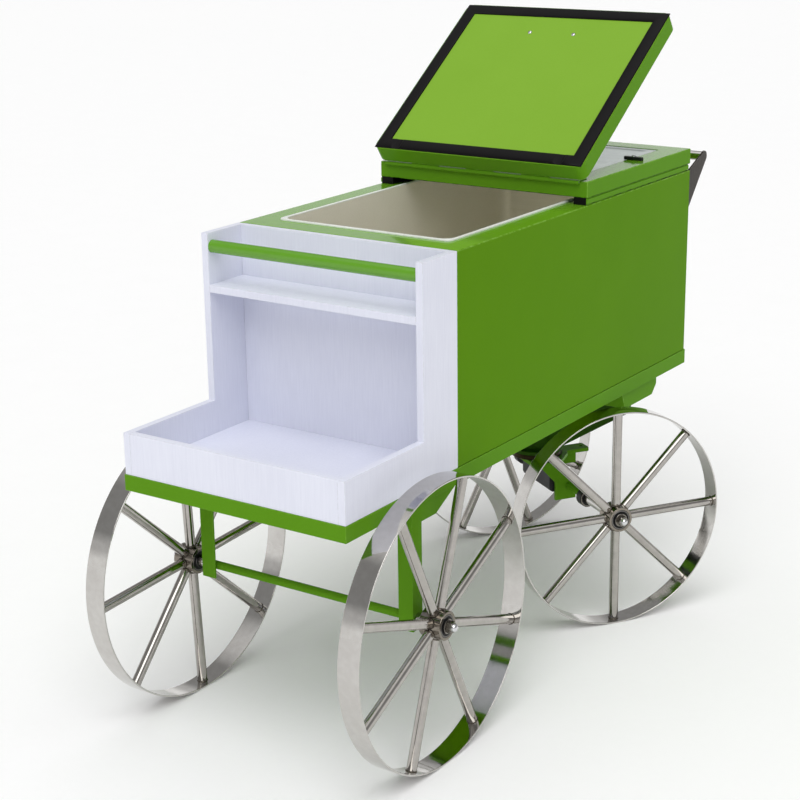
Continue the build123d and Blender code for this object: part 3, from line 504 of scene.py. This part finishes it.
# Wheels: flat bar rolled into a band, eight tube spokes and a turned hub, welded and then polished.
# The welds keep a dark bead and some heat tint. Each hub holds two sealed ball bearings.
tube_polish = finish("polished_tube", "b6b2ad", "a8a49f", (0.05, 0.11), (60, 0.003),
                     [("heat", "2e2820", 0.95)], metal=1.0)
hub_steel = finish("turned_hub", "8d867c", "787168", (0.12, 0.24), (200, 0.006),
                   [("heat", "39322a", 0.9)], metal=1.0)
weld_dark = finish("weld_bead", "6b645a", "46403a", (0.3, 0.5), (300, 0.2), metal=1.0)
# The bearing races are coloured a dark grey, painted shade inside the hub.
race_steel = finish("bearing_race", "6b6967", "5c5a58", (0.16, 0.28), (200, 0.006), metal=1.0)
seal_black = finish("bearing_seal", "121213", "19191b", (0.4, 0.55), (700, 0.03), shine=0.15)
front_radius, rear_radius = 332, 288
band_thick, band_half, band_corner = 4, 27, 1.3
spoke_count, spoke_radius, spoke_sunk = 8, 12, 0.2
spoke_step = tau / spoke_count
tint_core, tint_fade = 12, 13
tint = [1, 0.9, 0.5, 0.15, 0, 0, 0.12, 0.5, 0.95, 1]
weld_in = 11.6
hub_radius, hub_half, hub_bore = 33, 27, 23
seat_radius, seat_in = 26, 12
hub_end, hub_face = hub_half - 1, hub_radius - 0.8
seat_end, seat_face = hub_half - 0.6, seat_radius + 0.6
hub = ((hub_radius, -hub_end), (hub_radius, -14), (hub_radius, 14), (hub_radius, hub_end),
       (hub_face, hub_half), (seat_face, hub_half), (seat_radius, seat_end),
       (seat_radius, seat_in), (hub_bore, seat_in), (hub_bore, -seat_in),
       (seat_radius, -seat_in), (seat_radius, -seat_end), (seat_face, -hub_half),
       (hub_face, -hub_half))
hub_tint = (0.3, 1, 1, 0.3, 0.6, 0.9, 0.9, 0, 0, 0, 0, 0.9, 0.9, 0.6)
outer_race_in, inner_race_out, race_chamfer = 21.8, 14.2, 0.6
outer_race = (
    (outer_race_in, seat_in), (seat_radius, seat_in), (seat_radius, seat_end),
    (seat_radius - race_chamfer, hub_half), (22.4, hub_half), (outer_race_in, seat_end))
inner_race = (
    (axle_fit, seat_in), (inner_race_out, seat_in), (inner_race_out, seat_end),
    (inner_race_out - race_chamfer, hub_half), (10.6, hub_half), (axle_fit, seat_end))
lip_seal = ((inner_race_out, 13), (outer_race_in, 13), (outer_race_in, 25.8), (20.4, 26.4),
            (18.4, 26.1), (16.4, 26.4), (inner_race_out, 25.8))


def soft_bar(low, high, half, corner, steps=4):
    """Section of a flat bar with rounded corners, as radius and distance along the axle."""
    points = []
    middles = ((high - corner, half - corner), (low + corner, half - corner),
               (low + corner, corner - half), (high - corner, corner - half))
    for quarter, (r, along) in enumerate(middles):
        for i in range(steps + 1):
            a = (quarter + i / steps) * pi / 2
            points.append((r + corner * cos(a), along + corner * sin(a)))
    return points


def scorch(along, first, size):
    """Heat on the inside of a band, by the angle: it fades out round the weld of each spoke."""
    def level(a):
        aside = ((a - first + spoke_step / 2) % spoke_step - spoke_step / 2) * size
        away = (aside ** 2 + along ** 2) ** 0.5
        return max(0, min(1, 1 - (away - tint_core) / tint_fade))

    return level


def wavy(size, number):
    """Uneven radius of a weld bead, by the angle; the bead of each spoke differs."""
    return lambda a: size + 0.3 * sin(11 * a + number) + 0.2 * sin(17 * a + 2 * number)


for wheel, radius, phase in (("front_right", front_radius, 26), ("front_left", front_radius, 3),
                             ("rear_right", rear_radius, 0), ("rear_left", rear_radius, 20)):
    place = bench(Vector(spin[wheel]["pos_m"]), spin[wheel]["axis"])
    band_inside = radius - band_thick
    band = soft_bar(band_inside, radius, band_half, band_corner)
    near, far = band[:10], band[10:]
    inner_face = [(band_inside, along) for along in (20, 14, 7, 0, -7, -14, -20)]
    scorched = [scorch(along, radians(phase), band_inside) for r, along in inner_face]
    bm = bmesh.new()
    turn(bm, near + inner_face + far, place, shut=True, count=360,
         marks=[0] * len(near) + scorched + [0] * len(far))
    made(wheel + "_band", bm, polished, wheel + "_rim")
    spoke_end = band_inside + spoke_sunk
    along_spoke = [30.6, 36, 42, 52, 66]
    along_spoke += [band_inside - gap for gap in (50, 30, 17, 8, -spoke_sunk)]
    tubes = bmesh.new()
    welds = bmesh.new()
    for k in range(spoke_count):
        spoke = (place @ Matrix.Rotation(radians(phase + 360 / spoke_count * k), 4, "Z")
                 @ Matrix.Rotation(pi / 2, 4, "Y"))
        turn(tubes, [(spoke_radius, along) for along in along_spoke], spoke, count=40, marks=tint)
        band_weld = ((weld_in, spoke_end - 2.2), (wavy(12.3, k), spoke_end - 2.1),
                     (wavy(13, k), spoke_end - 1.3), (wavy(13.6, k), spoke_end - 0.3),
                     (13.4, spoke_end), (weld_in, spoke_end))
        hub_weld = ((weld_in, 36.2), (wavy(12.3, k), 35.9), (wavy(12.9, k), 34.8),
                    (wavy(13.3, k), 33), (weld_in, 32.4))
        turn(welds, band_weld, spoke, shut=True, count=44)
        turn(welds, hub_weld, spoke, shut=True, count=44)
    made(wheel + "_tubes", tubes, tube_polish, wheel + "_spokes")
    made(wheel + "_welds", welds, weld_dark, body="wheel_" + wheel, slot="polished_steel")
    bm = bmesh.new()
    turn(bm, hub, place, shut=True, count=80, marks=hub_tint)
    made(wheel + "_hub_turned", bm, hub_steel, wheel + "_hub")
    races = bmesh.new()
    seals = bmesh.new()
    for outward in (place, place @ Matrix.Rotation(pi, 4, "X")):
        turn(races, outer_race, outward, shut=True)
        turn(races, inner_race, outward, shut=True)
        turn(seals, lip_seal, outward, shut=True)
    made(wheel + "_bearing_races", races, race_steel, wheel + "_bearings")
    made(wheel + "_bearing_seals", seals, seal_black, body="wheel_" + wheel, slot="bearing_black")

# Box: green sheet steel folded and welded into a closed box on the base, with a mouth for the tub
# in its deck. Poured foam fills the space round the tub.
panel_green = finish("green_box_paint", "598a08", "568705", paint_rough, paint_grain, paint_wear_and_painted_light,
                     shine=paint_shine, glossy_lit_top=top_gloss_and_lit_colour)
foam = finish("poured_foam", "d9cfa0", "c8bb86", (0.8, 0.95), (260, 0.6))
box_half, box_length, deck = 300, 1144, 1123
bend, sheet, foam_edge = 2.5, 2, 0.6
mouth_half, mouth_inset, cut_corner = 233, 73, 0.4
arc = [i * pi / 8 for i in range(5)]


def loop(half, near, far, corner, z, place=spot, steps=6):
    """Rounded rectangle about the centre plane, between two places along the cart, at a height."""
    points = []
    middles = ((half - corner, far - corner), (corner - half, far - corner),
               (corner - half, near + corner), (half - corner, near + corner))
    for quarter, (x, y) in enumerate(middles):
        for i in range(steps + 1):
            a = (quarter + i / steps) * pi / 2
            points.append(place(x + corner * cos(a), y + corner * sin(a), z))
    return points


def mark_bends_and_top(bm, turned=Matrix.Identity(3), narrow=2, square=0.985, under=-0.1):
    """Mark the upper bends of a folded piece as worn edges with a painted highlight, its lower
    bends with painted shade, and its top for a gloss coat and a lighter, painted colour.
    """
    edge, painted_shade, glossy_lit_top = [bm.faces.layers.float.new(name) for name in ("edge", "painted_shade", "glossy_lit_top")]
    for face in bm.faces:
        normal = turned @ face.normal
        thin = min(line.calc_length() for line in face.edges) < narrow * MM
        bent = thin and max(abs(part) for part in normal) < square
        face[edge] = bent and normal.z > under
        face[painted_shade] = bent and normal.z < under
        face[glossy_lit_top] = normal.z > square
    return bm


def box_loop(inset, corner, z):
    """Outline of the box, moved inward by some millimetres, at a height."""
    return loop(box_half - inset, inset, box_length - inset, corner, z)


rings = [box_loop(sheet * (1 - cos(t)), bend, rail_top + sheet * (1 - sin(t)))
         for t in reversed(arc)]
rings += [box_loop(bend * (1 - cos(t)), bend, deck - bend + bend * sin(t)) for t in arc]
rings += [loop(mouth_half, mouth_inset, box_length - mouth_inset, cut_corner, height)
          for height in (deck, deck - sheet)]
rings += [box_loop(sheet, cut_corner, height) for height in (deck - sheet, rail_top + sheet)]
bm = bmesh.new()
skin(bm, rings)
made("box_sheet_steel", mark_bends_and_top(bm), panel_green, "box_shell")
made("box_filling", ease(copy_of("box_foam"), foam_edge), foam, "box_foam")

# Tub: stainless sheet welded into a deep liner with round corners and a swept floor. It hangs in
# the deck by its flange, and its floor has a hole for the drain.
steel_grain, along_sheet = (260, 0.02), (0.03, 1, 1)
satin_stainless = finish("satin_stainless", "f6f2e5", "eeeadb", (0.3, 0.46), steel_grain, metal=0.2,
                         stretch=along_sheet)
tub_half, tub_front, tub_rear, tub_bottom = 230, 76, 1068, 713
tub_corner, tub_sheet = 30, 2
sweep, sweep_tighter = 24, 0.8
flange_out, flange_corner, flange_high = 6, 14, 1124.5
drain_at, drain_hole = (150, 430), 14.1
quarter = [i * pi / 12 for i in range(7)]


def tub_loop(out, corner, z):
    """Outline of the tub, moved outward by some millimetres, at a height."""
    return loop(tub_half + out, tub_front - out, tub_rear + out, corner, z, steps=10)


def tub_sweep(out, t):
    """Outline of the tub where its wall sweeps into its floor, at an angle of the sweep."""
    inset = sweep * (1 - cos(t))
    corner = tub_corner + out - sweep_tighter * inset
    return tub_loop(out - inset, corner, tub_bottom - out + sweep * (1 - sin(t)))


def drain_ring(outline, z):
    """Round hole in the tub's floor, with a point for each point of an outline."""
    centre = spot(*drain_at, z)
    ways = [(point - centre) * Vector((1, 1, 0)) for point in outline]
    return [centre + way.normalized() * drain_hole * MM for way in ways]


liner = [tub_loop(flange_out, flange_corner, flange_high), tub_loop(2, tub_corner, flange_high),
         tub_loop(0.6, tub_corner, 1124), tub_loop(0, tub_corner, 1122.6)]
liner += [tub_sweep(0, t) for t in quarter]
liner += [drain_ring(liner[-1], tub_bottom), drain_ring(liner[-1], tub_bottom - tub_sheet)]
liner += [tub_sweep(tub_sheet, t) for t in reversed(quarter)]
liner += [tub_loop(tub_sheet, tub_corner + tub_sheet, 1122.4),
          tub_loop(flange_out, flange_corner, deck)]
bm = bmesh.new()
skin(bm, liner, shut=True)
made("tub_liner", bm, satin_stainless, "tub")

# Tub bead: a white plastic moulding, bent round the mouth of the tub and clipped over its flange,
# so that nobody is cut by the sheet.
white_bead = finish("white_bead", "eceeea", "e2e4df", (0.22, 0.36), (300, 0.01),
                    [("edge", "cfcfc8", 0.5)])
bead = ((6.3, 14.2, 0), (8, 16, 0), (8, 16, 2.4), (7.4, 15.6, 3.4), (6.2, 15, 4), (2, 29, 4),
        (0.6, 30, 3.4), (0, 30, 2.4), (0, 30, 1.6), (6.3, 14.2, 1.6))
bm = bmesh.new()
skin(bm, [tub_loop(out, corner, deck + rise) for out, corner, rise in bead], shut=True)
made("tub_bead", bm, white_bead, "tub_trim")

# Drain spout: a turned stainless tube through the floors of the tub and the box, clamped between
# its flange and a collar. Its lower end has barbs for a hose.
stainless = finish("brushed_stainless", "e8f0ee", "dde5e3", (0.26, 0.42), steel_grain,
                   [("edge", "d0cec6", 0.4)], metal=1.0, stretch=along_sheet)
drain_bore, drain_radius, drain_edge = 11, 14, 0.6
drain_collar, collar_low, drain_flange, drain_top = 20, 625, 24, tub_bottom + 2
tail_low, tail_top, barb_long, barb_count = 575, 612, 9, 4
barb = ((12.9, 0), (drain_radius, 6.4), (drain_radius, 7.2))
spout = [(drain_bore, tail_low)]
spout += [(radius, tail_low + barb_long * step + rise) for step in range(barb_count)
          for radius, rise in barb]
spout += [
    (drain_radius, tail_top), (drain_radius, collar_low), (drain_collar - drain_edge, collar_low),
    (drain_collar, collar_low + drain_edge), (drain_collar, rail_top), (drain_radius, rail_top),
    (drain_radius, tub_bottom), (drain_flange - drain_edge, tub_bottom),
    (drain_flange, tub_bottom + drain_edge), (drain_flange - drain_edge, drain_top),
    (13, drain_top), (drain_bore, tub_bottom + drain_edge)]
bm = bmesh.new()
turn(bm, spout, upright(spot(*drain_at, 0)), shut=True)
made("drain_hose_tail", bm, stainless, "drain_spout")

# Rear cover: green sheet steel folded into a shallow pan over the back half of the deck. A recess
# in its top has a ledge for the hatch round an opening.
cover_front, cover_bottom, cover_top = 578.5, 1140.5, 1180.5
cover_bend, recess_deep, recess_corner = 2, 6, 3
recess, opening = (238, 638, 1082), (218, 658, 1062)
ledge = cover_top - recess_deep
rings = []
for height, turns in ((cover_bottom + cover_bend, [-t for t in reversed(arc)]),
                      (cover_top - cover_bend, arc)):
    for t in turns:
        inset = cover_bend * (1 - cos(t))
        rings.append(loop(box_half - inset, cover_front + inset, box_length - inset, cover_bend,
                          height + cover_bend * sin(t)))
for outline, height in ((recess, cover_top), (recess, ledge), (opening, ledge),
                        (opening, cover_bottom)):
    rings.append(loop(*outline, recess_corner, height))
bm = bmesh.new()
skin(bm, rings, shut=True)
made("cover_folded", mark_bends_and_top(bm), green_coat, "cover_pan")

# Riser strips and seal: thin green flat bars on edge carry the cover on three sides, with a groove
# below and above; the lower groove is coloured dark green, painted shade. A black foam seal is
# glued inside them.
rubber = finish("black_rubber", "121011", "0d0c0d", (0.34, 0.5), (520, 0.02),
                [("edge", "282627", 0.6)], shine=0.1)
seal_edge = 0.8
riser_in, riser_rear, riser_gap = 297, 1134, 0.05
groove_in, groove_low, groove_high, lip = 297.5, 1126.4, 1138, 0.6
riser = ((riser_in, deck), (groove_in, deck), (groove_in, groove_low),
         (box_half - lip, groove_low), (box_half, groove_low + lip), (box_half, groove_high - lip),
         (box_half - lip, groove_high), (groove_in, groove_high), (groove_in, cover_bottom),
         (riser_in, cover_bottom))
low_groove = (1, 2)
bm = bmesh.new()
for side in (-1, 1):
    skin(bm, [[spot(side * x, y, z) for x, z in riser] for y in (cover_front, riser_rear)])
skin(bm, [[spot(x, riser_rear - box_half + y, z) for y, z in riser]
          for x in (riser_gap - riser_in, riser_in - riser_gap)])
# Painted shade: the back and the ledge of the lower groove take the dark green mark.
painted_shade = bm.faces.layers.float.new("painted_shade")
for number, face in enumerate(bm.faces):
    face[painted_shade] = number % (len(riser) + 2) in low_groove
made("cover_risers", bm, green_coat, "cover_strips")
made("cover_gasket", ease(copy_of("cover_seal"), seal_edge), rubber, "cover_seal")

# Hatch: brushed stainless sheet with rounded edges and a dished middle. It lies loose on the ledge
# in the cover, and lifts out.
hatch_half, hatch_front, hatch_rear = 236, 640, 1080
hatch_thick, hatch_bend, hatch_corner = 5, 2, 6
dish_inset, dish_slope, dish_deep, dish_corner = 22, 3, 1.4, 5
hatch_top = ledge + hatch_thick


def hatch_loop(inset, corner, z):
    """Outline of the hatch, moved inward by some millimetres, at a height."""
    return loop(hatch_half - inset, hatch_front + inset, hatch_rear - inset, corner, z)


rings = [hatch_loop(0, hatch_corner, ledge)]
rings += [hatch_loop(hatch_bend * (1 - cos(t)), hatch_corner,
                     hatch_top - hatch_bend + hatch_bend * sin(t)) for t in arc]
rings += [hatch_loop(dish_inset, dish_corner, hatch_top),
          hatch_loop(dish_inset + dish_slope, dish_corner, hatch_top - dish_deep)]
bm = bmesh.new()
skin(bm, rings)
made("hatch_sheet", mark_bends_and_top(bm), stainless, "hatch_panel")

# Turn button: a black cast catch with two wings that swings over the edge of the hatch. A zinc
# plated screw with a hexagon socket holds it on the cover, and it turns on that.
button_edge = 0.6
button_screw = ((3, 1172), (3, 1189), (5.4, 1189.1), (6, 1189.7), (5.6, 1191), (4.4, 1192.1),
                (3.2, 1192.1), (hexagon(2.6), 1192.1), (hexagon(2.6), 1190.4))
made("button_wings", ease(copy_of("turn_button"), button_edge), black_coat, "turn_button")
pin = joint_place("button_turn")
pin.z = 0
bm = bmesh.new()
turn(bm, button_screw, upright(pin), count=48)
made("button_screw_head", bm, zinc, "button_screw")

# Hinge: a steel piano hinge, its leaves screwed to the top of the cover and of the lid and painted
# over with them. The wire in its knuckles stays bare.
leaf_top, screw_row = 1182.5, 598
leaf_screw = ((3.6, -0.6), (3.9, 0), (3.4, 0.5), (1.6, 0.6), (1.2, 0))
made("hinge_fixed_leaf", copy_of("hinge_leaf_cover"), green_coat, "hinge_leaf_cover")
made("hinge_moving_leaf", copy_of("hinge_leaf_lid"), green_coat, "hinge_leaf_lid")
made("hinge_wire", copy_of("hinge_pin"), stainless, "hinge_pin")
bm = bmesh.new()
for x in (-250, -150, -50, 50, 150, 250):
    turn(bm, leaf_screw, upright(spot(x, screw_row, leaf_top)), count=24)
made("hinge_fixed_screws", bm, green_coat, body="cart", slot="green_paint")

# Lid: green sheet steel folded into a pan with rounded corners, filled with a foam core. A brighter
# green inner sheet closes it. It leans back on its hinge as it was photographed.
lid_light = finish("lid_panel_paint", "7eab30", "7ba82d", (0.3, 0.42), (340, 0.006),
                   [("edge", "9cc25a", 0.5)], shine=0.12)
lid_lean = radians(145)
lid_front, lid_back, lid_outer, lid_inner = -562.5, -2, -5.5, -48.5
lid_bend, lid_corner, core_edge = 3, 20, 0.4
panel_gap, panel_thick, panel_chamfer = 0.4, 1.5, 0.4
lid_place = bench(joint_place("lid_hinge"), (0, sin(lid_lean), cos(lid_lean)),
                  (0, cos(lid_lean), -sin(lid_lean)))
lid_turn = lid_place.to_3x3().normalized().transposed()


def lid_spot(x, y, z):
    """Point in millimetres on the lid, from its hinge line, as it lies when it is shut."""
    return lid_place @ Vector((x, y, z))


def lid_loop(inset, z):
    """Outline of the lid, moved inward by some millimetres, at a height when it is shut."""
    return loop(box_half - inset, lid_front + inset, lid_back - inset, lid_corner - inset, z,
                lid_spot)


rings = [lid_loop(lid_bend * (1 - cos(t)), lid_outer - lid_bend + lid_bend * sin(t))
         for t in reversed(arc)]
rings += [lid_loop(0, lid_inner), lid_loop(sheet, lid_inner), lid_loop(sheet, lid_outer - sheet)]
bm = bmesh.new()
skin(bm, rings)
made("lid_folded_pan", mark_bends_and_top(bm, lid_turn), green_coat, "lid_pan")
panel_inset = sheet + panel_gap
bm = bmesh.new()
skin(bm, [lid_loop(panel_inset, lid_inner + panel_thick),
          lid_loop(panel_inset, lid_inner + panel_chamfer),
          lid_loop(panel_inset + panel_chamfer, lid_inner)])
made("lid_inner_sheet", mark_bends_and_top(bm, lid_turn), lid_light, "lid_panel")
made("lid_filling", ease(copy_of("lid_core"), core_edge), foam, "lid_core")

# Lid gasket: a crowned black rubber strip, cut to a frame and glued round the inner sheet. Its
# hinge side dips twice, where it passes over the bead of the tub when the lid is shut.
gasket_inset, gasket_thick = 3, 6
gasket = ((0, 0), (0, 1.6), (1.5, 3.2), (5, 4.8), (11, 5.8), (17, gasket_thick), (23, 5.8),
          (29, 4.8), (32.5, 3.2), (34, 1.6), (34, 0))
bead_line, dip_flat, dip_slope, dip_thick = 234, 6, 10, 1.2
dip_steps = (-16, -12, -9, -6, -3, 0, 3, 6, 9, 12, 16)
dips = sorted(side * (bead_line + step) for side in (-1, 1) for step in dip_steps)


def dipped(x, thick):
    """Thickness of the gasket's hinge side, which is less over the bead."""
    clear = max(0, min(1, (abs(abs(x) - bead_line) - dip_flat) / dip_slope))
    return min(thick, dip_thick + (gasket_thick - dip_thick) * clear * clear * (3 - 2 * clear))


rings = []
for inset, thick in gasket:
    side = box_half - gasket_inset - inset
    near, far = lid_front + gasket_inset + inset, lid_back - gasket_inset - inset
    low = lid_inner - thick
    ring = [lid_spot(-side, near, low), lid_spot(side, near, low), lid_spot(side, far, low)]
    ring += [lid_spot(x, far, lid_inner - dipped(x, thick)) for x in reversed(dips)]
    rings.append(ring + [lid_spot(-side, far, low)])
bm = bmesh.new()
skin(bm, rings, shut=True)
made("lid_rubber_frame", bm, rubber, "lid_gasket", crease=60)

# Lid pull: a bent and polished round bar on the outside of the lid. Two chromed screws with hexagon
# sockets go through the lid from the inner sheet and hold it.
pull_half, pull_from_front = 64, 98
pull_screw = ((2.4, -50), (2.4, 0), (5.3, 0), (5.5, 0.4), (5, 1.9), (3.6, 2.8), (2.4, 3),
              (hexagon(2.2), 3), (hexagon(2.2), 1.4))
lid_axes = lid_place.to_3x3()
inward, lid_along = -(lid_axes @ Vector((0, 0, 1))), lid_axes @ Vector((0, 1, 0))
bm = bmesh.new()
for x in (-pull_half, pull_half):
    head = lid_spot(x, lid_front + pull_from_front, lid_inner)
    turn(bm, pull_screw, bench(head, inward, lid_along), count=48)
made("lid_screw_heads", bm, chrome, "lid_screws")
made("lid_pull", copy_of("lid_handle"), polished, "lid_handle")

# Serving unit: white faced boards with thin edge bands, screwed together from inside. The front
# board stands between the side boards, and a shelf and a back board close the niche.
white_face = finish("white_board", "e3e5f1", "dddfec", (0.34, 0.48), (240, 0.02),
                    [("edge", "d2d2d8", 0.75)], stretch=(1, 1, 0.06))
board_edge = 0.9
for board in ("unit_sides", "unit_back", "unit_floor", "unit_front", "unit_shelf"):
    made(board + "_faced", ease(copy_of(board), board_edge), white_face, board)

# Shelf rail: a round steel tube in a glossy green, let into the side boards in front of the shelf,
# so that nothing slides off it.
rail_gloss = finish("green_gloss", "609b24", "5d9720", (0.14, 0.22), (300, 0.003), shine=0.5)
rail_at = (0, -118, 1091)
rail_radius, rail_bore, rail_half = 15, 13, 282


def cross_tube(bore, radius, half, at):
    """Mesh of a tube that lies across the cart and is cut square at both ends."""
    bm = bmesh.new()
    turn(bm, ((bore, -half), (radius, -half), (radius, half), (bore, half)),
         bench(spot(*at), (1, 0, 0)), shut=True, count=56)
    return bm


made("rail_tube", cross_tube(rail_bore, rail_radius, rail_half, rail_at), rail_gloss, "glass_rail")

# Push handle: a polished steel tube between two tapered steel blades, whose feet are bolted to the
# back of the box.
dark_polish = finish("brushed_blade", "332d26", "28241e", (0.2, 0.34), (300, 0.02),
                     [("edge", "b5b1a8", 0.6)], metal=1.0, stretch=(1, 1, 0.05))
blade_edge = 0.8
grip_at = (0, 1237, 1146)
grip_radius, grip_bore, grip_half = 12.5, 10.5, 292
bolt_side, bolt_heights, blade_back = 272, (1043, 1102), 1149
bolt_washer = ((8.5, 0), (9, 0.4), (9, 1.4), (8.5, 1.8))
bolt_head = ((6, 1.8), (hexagon(7.4), 2.2), (hexagon(7.4), 6), (6.2, 7.1))
made("handle_blades", ease(copy_of("handle_brackets"), blade_edge), dark_polish, "handle_brackets")
made("handle_grip", cross_tube(grip_bore, grip_radius, grip_half, grip_at), polished, "handle_tube")
bm = bmesh.new()
for x in (-bolt_side, bolt_side):
    for z in bolt_heights:
        bolt = bench(spot(x, blade_back, z), (0, 1, 0))
        turn(bm, bolt_washer, bolt, count=36)
        turn(bm, bolt_head, bolt, count=48)
made("handle_bolts", bm, chrome, body="cart", slot="polished_steel")

# Studio: a wide pale floor that runs out to a bright horizon, a soft overhead light and a broad
# lamp from the front, and the camera at the height and angle of the photograph.
reach = 150
corners = [(-reach, -reach, 0), (reach, -reach, 0), (reach, reach, 0), (-reach, reach, 0)]
floor_mesh = bpy.data.meshes.new("floor")
floor_mesh.from_pydata(corners, [], [(0, 1, 2, 3)])
floor = bpy.data.objects.new("floor", floor_mesh)
bpy.context.scene.collection.objects.link(floor)
floor_mesh.materials.append(finish("pale_floor", "ffffff", "fefefe", (0.7, 0.85), (40, 0.01)))

sky_strength = 0.8
sky = ((0, 1.24), (0.1, 1.24), (0.2, 0.78), (0.27, 0.76), (0.38, 0.38), (0.72, 0.38), (0.88, 1.3))
world = bpy.data.worlds.new("studio")
bpy.context.scene.world = world
world.use_nodes = True
tree = world.node_tree
way = tree.nodes.new("ShaderNodeTexCoord")
split = tree.nodes.new("ShaderNodeSeparateXYZ")
ramp = tree.nodes.new("ShaderNodeValToRGB")
tree.links.new(way.outputs["Generated"], split.inputs[0])
tree.links.new(split.outputs["Z"], ramp.inputs[0])
tree.links.new(ramp.outputs[0], tree.nodes["Background"].inputs["Color"])
tree.nodes["Background"].inputs["Strength"].default_value = sky_strength
for height, level in sky[1:-1]:
    ramp.color_ramp.elements.new(height)
for stop, (height, level) in zip(ramp.color_ramp.elements, sky):
    stop.position = height
    stop.color = (level, level, level, 1)

lamp_aim = Vector((-0.3, 0.5, -0.81))
lamp_data = bpy.data.lights.new("broad_lamp", "SUN")
lamp_data.energy = 1.55
lamp_data.angle = radians(50)
lamp = bpy.data.objects.new("broad_lamp", lamp_data)
bpy.context.scene.collection.objects.link(lamp)
lamp.rotation_mode = "QUATERNION"
lamp.rotation_quaternion = lamp_aim.to_track_quat("-Z", "Y")

camera_at = (2.2882, -3.5926, 1.9540)
yaw, pitch, roll = radians(34.49), radians(17.23), radians(-0.81)
ahead = Vector((-sin(yaw) * cos(pitch), cos(yaw) * cos(pitch), -sin(pitch)))
right = Vector((cos(yaw), sin(yaw), 0))
above = right.cross(ahead)
across_frame = cos(roll) * right + sin(roll) * above
up_frame = cos(roll) * above - sin(roll) * right
aim = Matrix((across_frame, up_frame, -ahead)).transposed().to_4x4()
camera_data = bpy.data.cameras.new("camera")
camera_data.lens = 80.6
camera_data.sensor_width = 36
camera_data.clip_end = 500
camera = bpy.data.objects.new("camera", camera_data)
bpy.context.scene.collection.objects.link(camera)
camera.matrix_world = Matrix.Translation(camera_at) @ aim
bpy.context.scene.camera = camera
bpy.context.scene.view_settings.view_transform = "Standard"
